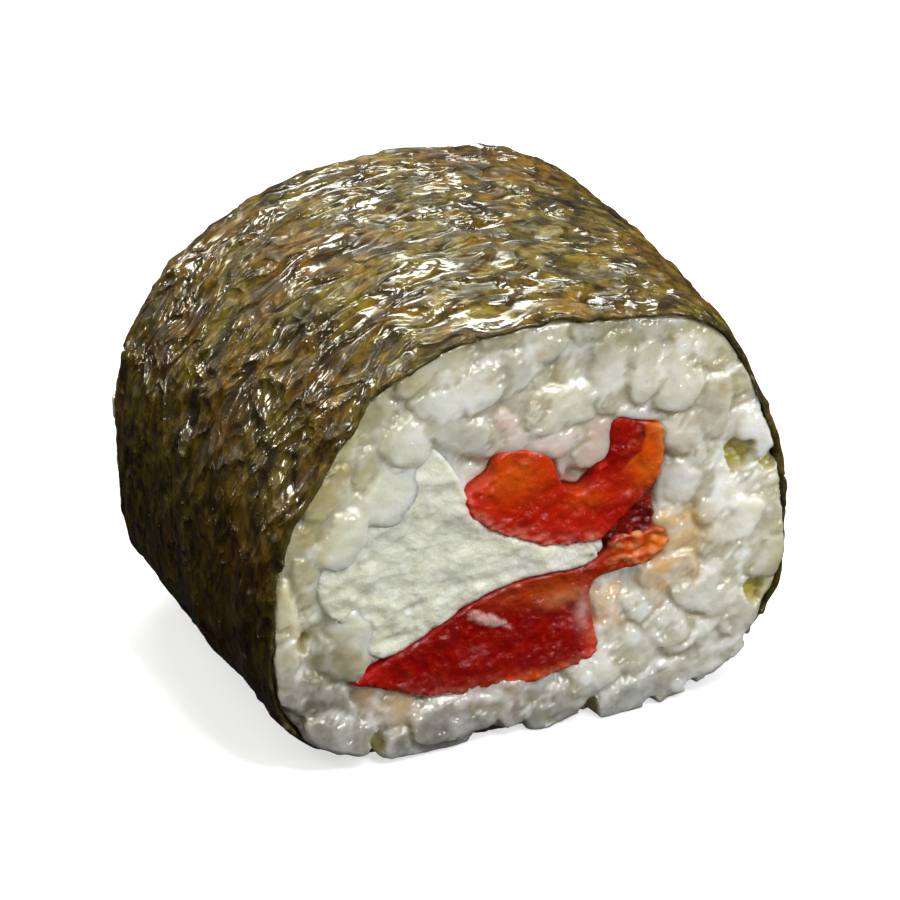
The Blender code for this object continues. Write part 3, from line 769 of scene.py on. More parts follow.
# Grains that lie open on the near cut face: x, z, length, width, angle, tone
OPEN_GRAINS = (
    (-13.3, 9.5, 6.5, 3.5, 60, 1), (-10.5, 12.1, 6.0, 3.4, 36, 1), (-6.7, 14.4, 6.5, 3.4, 18, 1),
    (-2.4, 15.7, 6.2, 3.2, 12, 1), (-8.2, 9.5, 5.4, 4.5, 46, 0), (-4.9, 11.9, 7.0, 3.8, 10, 0),
    (-0.7, 12.2, 4.2, 4.2, 80, 0), (-4.5, 8.8, 6.3, 2.8, -26, 0), (-11.5, 7.2, 5.3, 3.5, 69, 1),
    (-9.7, 5.3, 4.0, 4.2, 58, 0), (-14.8, 5.6, 5.7, 3.3, 67, 1), (-13.7, 2.7, 4.2, 3.6, 58, 0),
    (-16.6, 2.1, 5.8, 3.0, 74, 1), (-16.3, -0.4, 4.5, 2.9, 79, 1), (-18.0, -3.8, 7.4, 2.6, 87, 0),
    (-13.2, -5.6, 5.4, 3.3, 75, 1), (1.7, 15.4, 3.3, 3.6, 58, 0), (5.0, 14.8, 4.5, 2.6, -6, 0),
    (8.7, 14.3, 6.1, 2.4, -8, 0), (13.0, 12.5, 6.0, 2.6, -37, 1), (3.6, 12.4, 4.3, 4.4, 70, 1),
    (6.4, 11.4, 5.8, 3.2, 87, 0), (8.7, 11.0, 4.7, 2.6, 86, 0), (11.2, 10.4, 5.2, 3.5, 90, 0),
    (2.5, 9.6, 5.2, 3.9, -1, 0), (-0.8, 9.1, 4.2, 3.7, 58, 2), (9.0, 8.4, 6.0, 2.4, -19, 0),
    (5.2, 6.5, 4.4, 2.9, 72, 2), (2.2, 7.0, 4.3, 3.7, 9, 2), (15.0, 10.0, 5.2, 2.9, -53, 1),
    (14.0, 7.6, 5.4, 3.5, 71, 0), (16.8, 7.4, 5.2, 2.7, -65, 1), (17.3, 5.1, 4.7, 3.0, -74, 0),
    (12.1, 6.5, 4.2, 3.9, 59, 0), (13.9, 4.1, 5.2, 3.3, 76, 0), (12.2, 2.1, 5.4, 3.9, 82, 0),
    (17.5, 1.0, 7.6, 2.9, -62, 0), (19.1, -0.6, 5.8, 1.9, -84, 1), (15.0, 0.3, 5.0, 4.0, 59, 0),
    (12.3, -1.7, 4.4, 4.5, 27, 3), (15.9, -2.7, 5.4, 5.0, 53, 0), (18.6, -4.1, 5.9, 3.2, 82, 1),
    (13.2, -4.6, 5.2, 3.6, 9, 3), (16.0, -6.4, 5.3, 3.7, 71, 0), (18.5, -7.4, 3.0, 2.6, 71, 1),
    (13.3, -7.4, 5.1, 3.8, -3, 0), (16.3, -10.0, 3.4, 3.3, 71, 0), (15.2, -11.9, 3.6, 3.9, 33, 0),
    (11.4, -5.5, 4.3, 3.6, 21, 3), (6.8, -7.2, 5.2, 3.6, -40, 3), (9.8, -8.5, 5.5, 2.8, -47, 0),
    (12.6, -10.3, 5.9, 4.0, 14, 0), (13.5, -13.3, 5.8, 3.2, 20, 5), (8.7, -10.9, 5.0, 3.9, 40, 0),
    (5.6, -11.6, 6.4, 4.1, 33, 0), (9.2, -14.3, 7.4, 3.8, 14, 5), (3.4, -13.6, 4.3, 3.7, 27, 5),
    (1.1, -13.6, 6.2, 2.8, -80, 5), (-1.2, -12.8, 4.5, 2.5, 86, 2), (-4.9, -13.4, 7.8, 3.8, 1, 5),
    (-3.3, -11.9, 3.4, 2.1, -3, 2), (-9.8, -12.0, 7.9, 3.6, -40, 3), (-7.5, -14.6, 6.8, 2.5, -6, 5),
    (-14.1, -12.4, 5.7, 3.1, -29, 5), (-16.1, -9.0, 7.5, 3.1, -37, 5))
# Small open gaps between grains on the near cut face: x, z, radius
GAPS = ((16.2, 3.1, 1.05), (18.7, 2.3, 0.7), (17.7, -8.2, 0.8), (17.2, -11.7, 0.4), (12.8, -14.9, 0.6),
        (9.4, -15.9, 0.6), (4.8, -15.0, 0.7), (-1.0, -15.4, 0.6), (-11.5, -13.8, 0.7), (-16.7, -4.9, 0.6))
TONES = np.array(((0.64, 0.628, 0.51), (0.62, 0.56, 0.33), (0.73, 0.58, 0.49), (0.68, 0.45, 0.19),
                  (0.50, 0.485, 0.40), (0.54, 0.54, 0.50)))
# How far the sticky starch between the grains stays below them, by tone
BARE = np.array((0.24, 0.12, 0.18, 0.12, 0.26, 0.52))


def grain_shape(around, rings):
    """A cooked grain of unit length and width: blunt, slightly bent, with the small notch
    at one end where the germ was."""
    a = np.linspace(0, math.pi, rings + 2)[1:-1]
    b = np.arange(around) * 2 * math.pi / around
    x = np.sign(np.cos(a)) * np.abs(np.cos(a)) ** 0.78
    x = x[:, None] * np.ones(around)[None]
    rho = np.sin(a)[:, None] ** 0.56
    y, z = rho * np.cos(b)[None], rho * np.sin(b)[None]
    p = np.stack([x, y, z], -1).reshape(-1, 3)
    p = np.vstack([p, [(1, 0, 0), (-1, 0, 0)]])
    p[:, 2] *= 0.88
    p[:, 1] += 0.10 * (p[:, 0] ** 2 - 0.4)
    p[:, 1:] *= (1 - 0.10 * p[:, :1])
    notch = np.exp(-(((p[:, 0] - 0.86) / 0.20) ** 2 + ((p[:, 1] - 0.45) / 0.45) ** 2))
    p -= notch[:, None] * np.array((0.14, 0.18, 0.0))
    tri = []
    for f in grid_faces(rings, around, True):
        tri += [(f[0], f[1], f[2]), (f[0], f[2], f[3])]
    top, bottom = rings * around, rings * around + 1
    for j in range(around):
        k = (j + 1) % around
        tri += [(top, k, j), (bottom, (rings - 1) * around + j, (rings - 1) * around + k)]
    p, tri = p, np.array(tri)
    flat = p[tri]
    if np.einsum("ij,ij->i", flat[:, 0], np.cross(flat[:, 1], flat[:, 2])).sum() < 0:
        tri = tri[:, ::-1]
    return p, tri


def inner_radius(angle, y):
    t = y / LENGTH + 0.5
    return section_radius(angle, t) + overlap(angle) * 0.5 - 0.46


def pack_layer(end, seed, count, fixed, gaps):
    """Grains of one layer over the rice of a cut face, pushed apart until they fit.
    fixed are grains that keep their place. Rows: x, z, length, width, angle, tone."""
    rng = np.random.default_rng(seed)
    spots = []
    while len(spots) < count:
        p = rng.uniform((-19.5, -15.5), (19.8, 16.0), (400, 2))
        ang = np.degrees(np.arctan2(p[:, 1], p[:, 0]))
        rr = np.hypot(*p.T)
        lim = inner_radius(ang, np.full(len(p), -15.0 if end == 0 else 15.0)) - 1.0
        ok = (rr < lim) & (p[:, 1] > -AXIS_HEIGHT + 1.6)
        ok &= filling_distance(p, end) > 0.9
        for q in p[ok]:
            near = [np.hypot(*(q - s)) for s in spots] + [np.hypot(*(q - f[:2])) for f in fixed]
            if (min(near) if near else 9) > 1.75 or rng.uniform() < 0.02:
                spots.append(q)
            if len(spots) >= count:
                break
        count -= 1
    p = np.array(spots)
    n = len(p)
    length = rng.normal(6.6, 0.7, n).clip(4.6, 7.8)
    width = rng.normal(3.15, 0.25, n).clip(2.6, 3.8)
    ang = rng.uniform(0, 180, n)
    # seen end on or steeply tilted, a grain shows short
    tilt = rng.uniform(0, 1, n) ** 1.7
    length = length * (1 - 0.45 * tilt)
    rows = np.column_stack([p, length, width, ang, np.zeros(n)])
    if len(fixed):
        rows = np.vstack([rows, np.array(fixed, float)])
    free = np.arange(len(rows)) < n
    gap_xy = np.array([g[:2] for g in gaps]) if gaps else np.zeros((0, 2))
    gap_r = np.array([g[2] for g in gaps]) if gaps else np.zeros(0)
    for _ in range(70):
        a = np.radians(rows[:, 4])
        half = np.maximum(rows[:, 2] - rows[:, 3], 0.2)[:, None] / 2 * np.stack([np.cos(a), np.sin(a)], -1)
        # three beads along each grain stand for its body
        beads = np.stack([rows[:, :2] - half, rows[:, :2], rows[:, :2] + half], 1)
        d = beads[:, None, :, None] - beads[None, :, None, :]
        dist = np.sqrt((d ** 2).sum(-1)) + 1e-9
        want = (rows[:, 3][:, None] + rows[:, 3][None]) / 2 * 0.80
        over = np.clip(want[:, :, None, None] - dist, 0, None)
        idx = np.arange(len(rows))
        over[idx, idx] = 0
        push = (d / dist[..., None]) * over[..., None]
        share = push.sum((1, 3))   # per grain, per bead
        move = share.sum(1) * 0.16
        # turning, from the beads at both ends
        arm = half[:, None] * np.array([-1, 0, 1])[None, :, None]
        torque = (arm[..., 0] * share[..., 1] - arm[..., 1] * share[..., 0]).sum(1)
        inertia = np.maximum((half ** 2).sum(1), 0.6) * 2
        rows[free, 4] += np.degrees(0.22 * torque / inertia)[free].clip(-8, 8)
        rows[free, :2] += move[free].clip(-0.5, 0.5)
        # stay in the rice
        for k in (0, 1, 2):
            b = beads[:, k]
            bang = np.degrees(np.arctan2(b[:, 1], b[:, 0]))
            rr = np.hypot(*b.T)
            lim = inner_radius(bang, np.full(len(b), -15.0 if end == 0 else 15.0)) - rows[:, 3] * 0.42
            out = np.clip(rr - lim, 0, None)
            rows[free, :2] -= (b / rr[:, None] * out[:, None])[free] * 0.4
            fd = filling_distance(b, end) if _ % 5 == 0 else None
            if fd is not None:
                eps = 0.05
                gx = (filling_distance(b + (eps, 0), end) - fd) / eps
                gz = (filling_distance(b + (0, eps), end) - fd) / eps
                need = np.clip(rows[:, 3] * 0.40 - fd, 0, 2.0)
                rows[free, :2] += (np.stack([gx, gz], -1) * need[:, None])[free] * 0.6
            if len(gap_xy):
                g = b[:, None] - gap_xy[None]
                gd = np.hypot(g[..., 0], g[..., 1]) + 1e-6
                need = np.clip(gap_r[None] + rows[:, 3][:, None] * 0.42 - gd, 0, 1.0)
                rows[free, :2] += ((g / gd[..., None]) * need[..., None]).sum(1)[free] * 0.35
    return rows[free]


def grain_bodies(rows, end, depth, seed, around, rings, spread=0.25):
    """Many closed grains on a cut face, each bent, dented and pressed against the knife's
    plane and the sheet. Points are in millimetres about the section's centre."""
    rng = np.random.default_rng(seed)
    shape, tris = grain_shape(around, rings)
    points, faces, colours, bare, which = [], [], [], [], []
    count = 0
    for k, (x, z, length, width, ang, tone) in enumerate(rows):
        tone = int(tone)
        p = shape.copy()
        length, width = length * 1.10, width * 1.12
        true_length = max(length, width * 1.2)
        p = p * (true_length / 2, width / 2, width / 2)
        if rng.uniform() < 0.5:
            p[:, 1] *= -1
        if rng.uniform() < 0.5:
            p[:, 0] *= -1
        roll = rng.uniform(-0.7, 0.7)
        cr, sr = math.cos(roll), math.sin(roll)
        p = np.stack([p[:, 0], p[:, 1] * cr - p[:, 2] * sr, p[:, 1] * sr + p[:, 2] * cr], -1)
        # lumps and dents over the grain
        p = p * (1 + 0.15 * noise3(p / 1.7 + k * 7.1, 61)[:, None] + 0.05 * noise3(p / 0.8 + k * 2.3, 62)[:, None])
        tilt = rng.uniform(-0.18, 0.18)
        ct, st = math.cos(tilt), math.sin(tilt)
        p = np.stack([p[:, 0] * ct - p[:, 2] * st, p[:, 1], p[:, 0] * st + p[:, 2] * ct], -1)
        a = math.radians(ang)
        gx = x + p[:, 0] * math.cos(a) - p[:, 1] * math.sin(a)
        gz = z + p[:, 0] * math.sin(a) + p[:, 1] * math.cos(a)
        out = p[:, 2]                      # towards the viewer of this cut face
        lift = rng.uniform(-spread, spread) + (0.10 if tone in (0, 5) else -0.06)
        cut = rng.uniform(0.75, 1.15) if rng.uniform() < 0.8 else rng.uniform(0.35, 0.6)
        tip = rng.uniform(-0.11, 0.11, 2)
        level = face_level(gx, gz, end)
        surface = out - width / 2 - depth + lift + cut    # over the face: 0 at the knife's plane
        top = 0.04 + 0.85 * lift + tip[0] * (gx - x) + tip[1] * (gz - z)
        top = top + 0.08 * noise3(p / 1.1 + k * 3.3, 63)
        # the knife's cut leaves a nearly flat top
        surface = np.where(surface > top, top + (surface - top) * 0.11, surface)
        off = filling_distance(np.stack([gx, gz], -1), end, ("pepper_upper", "pepper_lower"))
        surface = surface - 1.4 * (smooth(-0.30, -0.85, off) if end == 0 else smooth(0.10, -0.35, off))
        y = level - surface
        angv = np.degrees(np.arctan2(gz, gx))
        yy = -LENGTH / 2 + y if end == 0 else LENGTH / 2 - y
        rr = np.hypot(gx, gz)
        edge = sheet_edge(angv, end)
        beyond = smooth(0.10, -0.30, y - edge)      # 1 where the grain stands past the sheet
        set_back = low_side(angv if end == 0 else angv + 40.0)
        lim = inner_radius(angv, yy) - 0.08 + 0.50 * beyond * set_back
        press = np.where(rr > lim, lim + (rr - lim) * 0.06, rr)
        scale = press / np.maximum(rr, 1e-6)
        gx, gz = gx * scale, gz * scale
        gz = np.maximum(gz, -AXIS_HEIGHT + 0.04 + 0.30 * (1 - beyond))
        points.append(np.stack([gx, yy, gz], -1))
        faces.append(tris + count)
        count += len(p)
        base = TONES[tone] * rng.uniform(0.82, 1.14)
        if tone == 0:
            base = base + rng.uniform(-0.02, 0.02) * np.array((1, 0.4, -1.5))
        colour = np.tile(base, (len(p), 1))
        # a whiter belly, and an edge that more light passes through
        q = np.hypot(p[:, 0] / (0.5 * true_length), p[:, 1] / (0.5 * width))
        white = rng.uniform(0.0, 0.4)
        if tone == 0 and rng.uniform() < 0.62:
            white = rng.uniform(0.7, 1.0)
        core = np.exp(-(q / rng.uniform(0.5, 0.85)) ** 3) * (0.75 + 0.25 * smooth(-0.4, 0.3, noise3(p / 1.2 + k, 64)))
        colour += (np.array((0.93, 0.94, 0.92)) - colour) * (white * core)[:, None]
        if tone == 5:
            # a glassy grain: clear inside, pale where its edge catches the light
            colour += (np.array((0.36, 0.35, 0.31)) - colour) * (0.65 * core)[:, None]
            colour += (np.array((0.86, 0.86, 0.82)) - colour) * (0.60 * smooth(0.72, 0.98, q))[:, None]
        else:
            colour += (np.array((0.50, 0.475, 0.34)) - colour) * (0.40 * smooth(0.70, 1.0, q))[:, None]
        # painted light: the olive of light coming through the sheet, on grains next to it
        near_wall = np.exp(-np.maximum(inner_radius(angv, yy) - np.hypot(gx, gz), 0) / 1.0)
        colour += (np.array((0.55, 0.50, 0.28)) - colour) * (0.40 * near_wall * (1 - beyond))[:, None]
        dp = float(filling_distance(np.array([[x, z]]), end, ("pepper_upper", "pepper_lower"))[0])
        stain = math.exp(-max(dp - 1.2, 0) / 1.1) * (0.10 + 0.20 * rng.uniform())
        colour += (np.array((0.82, 0.56, 0.46)) - colour) * stain
        colours.append(colour)
        bare.append(np.full(len(p), BARE[tone]))
        which.append(np.full(len(p), k))
    return (np.concatenate(points), np.concatenate(faces), np.clip(np.concatenate(colours), 0.01, 1),
            np.concatenate(bare), np.concatenate(which))


# Small spots on the near cut face's rice: x, z, radius, colour
SPECKS = ((0.85, 13.9, 0.5, (0.60, 0.44, 0.26)), (-2.9, 12.9, 0.42, (0.56, 0.42, 0.26)),
          (12.4, -1.8, 1.6, (0.74, 0.51, 0.20)), (10.6, -4.6, 0.9, (0.76, 0.46, 0.20)),
          (-9.6, -11.7, 1.0, (0.66, 0.47, 0.24)), (14.6, 8.8, 0.5, (0.58, 0.46, 0.26)))
# Broad painted light and shade over the near cut face's rice, darker at the lower left, the bottom and the top, olive
# at the left and lighter at the right: x, z, radii, colour, strength
RICE_PAINTED_LIGHT_AND_SHADE = ((-15.8, -9.0, 3.6, 4.6, (0.095, 0.083, 0.042), 0.82), (-16.6, 2.0, 3.0, 7.5, (0.46, 0.38, 0.13), 0.78),
               (-13.6, 8.4, 2.8, 3.8, (0.46, 0.38, 0.12), 0.72), (-4.0, -14.2, 7.5, 2.5, (0.18, 0.18, 0.170), 0.80),
               (6.0, -14.8, 6.0, 2.4, (0.26, 0.27, 0.24), 0.75), (-10.5, -13.4, 4.8, 2.8, (0.22, 0.20, 0.16), 0.70),
               (19.7, -1.0, 1.1, 7.0, (0.50, 0.49, 0.24), 0.60), (4.5, 14.6, 8.5, 2.2, (0.31, 0.287, 0.170), 0.75),
               (15.0, 11.0, 2.6, 2.6, (0.58, 0.56, 0.34), 0.40), (16.9, -2.2, 2.5, 5.0, (0.86, 0.86, 0.77), 0.55))
PITCH = 0.15
GRID_X, GRID_Z = np.arange(-22.5, 22.5, PITCH), np.arange(-17.5, 18.5, PITCH)


def spread_disc(grid, radius, pick):
    """Largest or smallest neighbour within a radius in millimetres."""
    k = int(math.ceil(radius / PITCH))
    out = grid.copy()
    padded = np.pad(grid, k, mode="edge")
    for i in range(-k, k + 1):
        for j in range(-k, k + 1):
            if (i or j) and i * i + j * j <= (radius / PITCH) ** 2 + 0.5:
                part = padded[k + i:k + i + grid.shape[0], k + j:k + j + grid.shape[1]]
                out = pick(out, part)
    return out


def blurred(grid, radius):
    k = int(math.ceil(radius * 2.5 / PITCH))
    w = np.exp(-0.5 * (np.arange(-k, k + 1) * PITCH / radius) ** 2)
    w /= w.sum()
    for axis in (0, 1):
        padded = np.pad(grid, [(k, k) if a == axis else (0, 0) for a in (0, 1)], mode="edge")
        n = grid.shape[axis]
        grid = sum(w[i] * (padded[i:i + n] if axis == 0 else padded[:, i:i + n]) for i in range(2 * k + 1))
    return grid


def sampled(grid, x, z):
    u = np.clip((x - GRID_X[0]) / PITCH, 0, len(GRID_X) - 1.001)
    v = np.clip((z - GRID_Z[0]) / PITCH, 0, len(GRID_Z) - 1.001)
    i, j = u.astype(int), v.astype(int)
    fu, fv = u - i, v - j
    return (grid[i, j] * (1 - fu) * (1 - fv) + grid[i + 1, j] * fu * (1 - fv)
            + grid[i, j + 1] * (1 - fu) * fv + grid[i + 1, j + 1] * fu * fv)


def standing(points, end):
    """How far points stand out of the cut face's mean level."""
    depth = points[:, 1] + LENGTH / 2 if end == 0 else LENGTH / 2 - points[:, 1]
    return face_level(points[:, 0], points[:, 2], end) - depth


def starch_maps(points, tris, bare, end, gaps):
    """The height of the grains over the cut face as a grid, and of the starch that joins them."""
    weights = [(1 / 3, 1 / 3), (0.8, 0.1), (0.1, 0.8), (0.1, 0.1), (0.45, 0.45), (0.45, 0.1), (0.1, 0.45)]
    h = np.full((len(GRID_X), len(GRID_Z)), -3.2)
    b = np.full(h.shape, 0.1)
    rise = standing(points, end)
    for wa, wb in weights:
        mix = [wa, wb, 1 - wa - wb]
        p = sum(points[tris[:, k]] * mix[k] for k in range(3))
        s = sum(rise[tris[:, k]] * mix[k] for k in range(3))
        i = np.clip(((p[:, 0] - GRID_X[0]) / PITCH).round().astype(int), 0, len(GRID_X) - 1)
        j = np.clip(((p[:, 2] - GRID_Z[0]) / PITCH).round().astype(int), 0, len(GRID_Z) - 1)
        order = np.argsort(s)
        i, j, s = i[order], j[order], s[order]
        better = s > h[i, j]
        b[i[better], j[better]] = bare[tris[order, 0]][better]
        np.maximum.at(h, (i, j), s)
    gx, gz = np.meshgrid(GRID_X, GRID_Z, indexing="ij")
    flat = np.stack([gx.ravel(), gz.ravel()], -1)
    inside = -filling_distance(flat, end).reshape(gx.shape)
    pepper = -filling_distance(flat, end, ("pepper_upper", "pepper_lower")).reshape(gx.shape)
    ragged = 0.45 * noise3(np.stack([gx / 1.3, gz / 1.3, np.full_like(gx, 3.0 + end)], -1), 99)
    b = np.where(inside > -0.3, 0.10, b)
    full = np.where(inside > 0, 0.0, h)
    closed = spread_disc(spread_disc(full, 0.75, np.maximum), 0.75, np.minimum)
    starch = blurred(closed, 0.20) - blurred(b, 0.5)
    # starch always fills the deeper spaces between grains
    starch = np.maximum(starch, -1.05)
    starch -= 1.6 * np.maximum(smooth(-0.38, 0.15, pepper), smooth(0.0, 0.8, inside + ragged))
    return h, np.clip(starch, -3.0, 0.3)


def starch_body(starch, end):
    """A closed slab behind the cut face, its near side at the starch's height."""
    rows, cols, thick = 104, 460, 3.6
    angle = np.arange(cols) * 360.0 / cols
    y0 = -LENGTH / 2 if end == 0 else LENGTH / 2
    wall = inner_radius(angle, np.full(cols, y0))
    c, s = np.cos(np.radians(angle)), np.sin(np.radians(angle))
    edge_y = sheet_edge(angle, end)
    rings = []
    for k in range(1, rows + 1):
        share = k / rows
        r = wall * share
        x, z = r * c, r * s
        level = face_level(x, z, end)
        edge = wall * (1 - share)
        h = sampled(starch, x, z) - 0.45 * (1 - np.sqrt(1 - (1 - np.minimum(edge / 0.6, 1)) ** 2))
        depth = level - h
        beyond = smooth(0.15, -0.35, depth - edge_y)
        set_back = low_side(angle if end == 0 else angle + 40.0)
        grow = 1 + (0.42 * beyond * set_back - 0.10) / wall * share ** 6
        rings.append(np.stack([x * grow, depth, z * grow], -1))
    for d in (1.6, 2.6, thick):
        rings.append(np.stack([(wall - 0.06) * c, np.full(cols, d), (wall - 0.06) * s], -1))
    p = np.concatenate(rings)
    middle = [0, face_level(np.zeros(1), np.zeros(1), end)[0] - sampled(starch, np.zeros(1), np.zeros(1))[0], 0]
    p = np.vstack([p, [middle, (0, thick, 0)]])
    p[:, 2] = np.maximum(p[:, 2], -AXIS_HEIGHT + 0.05)
    p[:, 1] = y0 + p[:, 1] if end == 0 else y0 - p[:, 1]
    quads = grid_faces(len(rings), cols, True)
    tris = np.concatenate([quads[:, [0, 1, 2]], quads[:, [0, 2, 3]]])
    j = np.arange(cols)
    j2 = (j + 1) % cols
    near, far = len(p) - 2, len(p) - 1
    last = (len(rings) - 1) * cols
    tris = np.concatenate([tris, np.stack([np.full(cols, near), j2, j], -1),
                           np.stack([np.full(cols, far), last + j, last + j2], -1)])
    flat = p[tris]
    flat = flat - p.mean(0)
    if np.einsum("ij,ij->i", flat[:, 0], np.cross(flat[:, 1], flat[:, 2])).sum() < 0:
        tris = tris[:, ::-1]
    return p, tris


def one_skin(points, tris, voxel):
    """A single even skin round all the closed shapes given, in their own unit."""
    mesh = bpy.data.meshes.new("raw")
    from_arrays(mesh, points, tris)
    mesh.update()
    obj = bpy.data.objects.new("raw", mesh)
    bpy.context.scene.collection.objects.link(obj)
    mod = obj.modifiers.new("skin", "REMESH")
    mod.mode = "VOXEL"
    mod.voxel_size = voxel
    mod.adaptivity = 0.0
    graph = bpy.context.evaluated_depsgraph_get()
    made = obj.evaluated_get(graph)
    skin = made.to_mesh()
    co = np.empty(len(skin.vertices) * 3, np.float32)
    skin.vertices.foreach_get("co", co)
    skin.calc_loop_triangles()
    sizes = np.empty(len(skin.polygons), np.int32)
    skin.polygons.foreach_get("loop_total", sizes)
    index = np.empty(len(skin.loops), np.int32)
    skin.loops.foreach_get("vertex_index", index)
    if (sizes != 4).any():
        raise ValueError("the skin isn't all quads")
    made.to_mesh_clear()
    bpy.data.objects.remove(obj)
    bpy.data.meshes.remove(mesh)
    return co.reshape(-1, 3).astype(float), index.reshape(-1, 4)


def relaxed(p, faces, times, share):
    """Evens the skin's small steps."""
    k = faces.shape[1]
    ends = np.concatenate([faces[:, [i, (i + 1) % k]] for i in range(k)])
    degree = np.bincount(ends.ravel(), minlength=len(p)).astype(float)
    for _ in range(times):
        total = np.stack([np.bincount(ends[:, 0], p[ends[:, 1], k], len(p))
                          + np.bincount(ends[:, 1], p[ends[:, 0], k], len(p)) for k in range(p.shape[1])], -1)
        p = p + share * (total / np.maximum(degree, 1)[:, None] - p)
    return p


def normals_of(p, tri):
    n = np.cross(p[tri[:, 1]] - p[tri[:, 0]], p[tri[:, 2]] - p[tri[:, 0]])
    out = np.stack([sum(np.bincount(tri[:, j], n[:, k], len(p)) for j in range(3)) for k in range(3)], -1)
    return out / np.maximum(np.linalg.norm(out, axis=1), 1e-9)[:, None]


def gap_share(p, x, z, r):
    """1 inside a small uneven opening between grains, 0 outside it."""
    wobble = 0.55 * noise3(np.stack([p[:, 0] / 0.8, p[:, 2] / 0.8, 0 * p[:, 0] + x], -1), 77)
    d = np.hypot((p[:, 0] - x) * 1.15, (p[:, 2] - z) * 0.85) / r + wobble
    return smooth(1.15, 0.95, d)


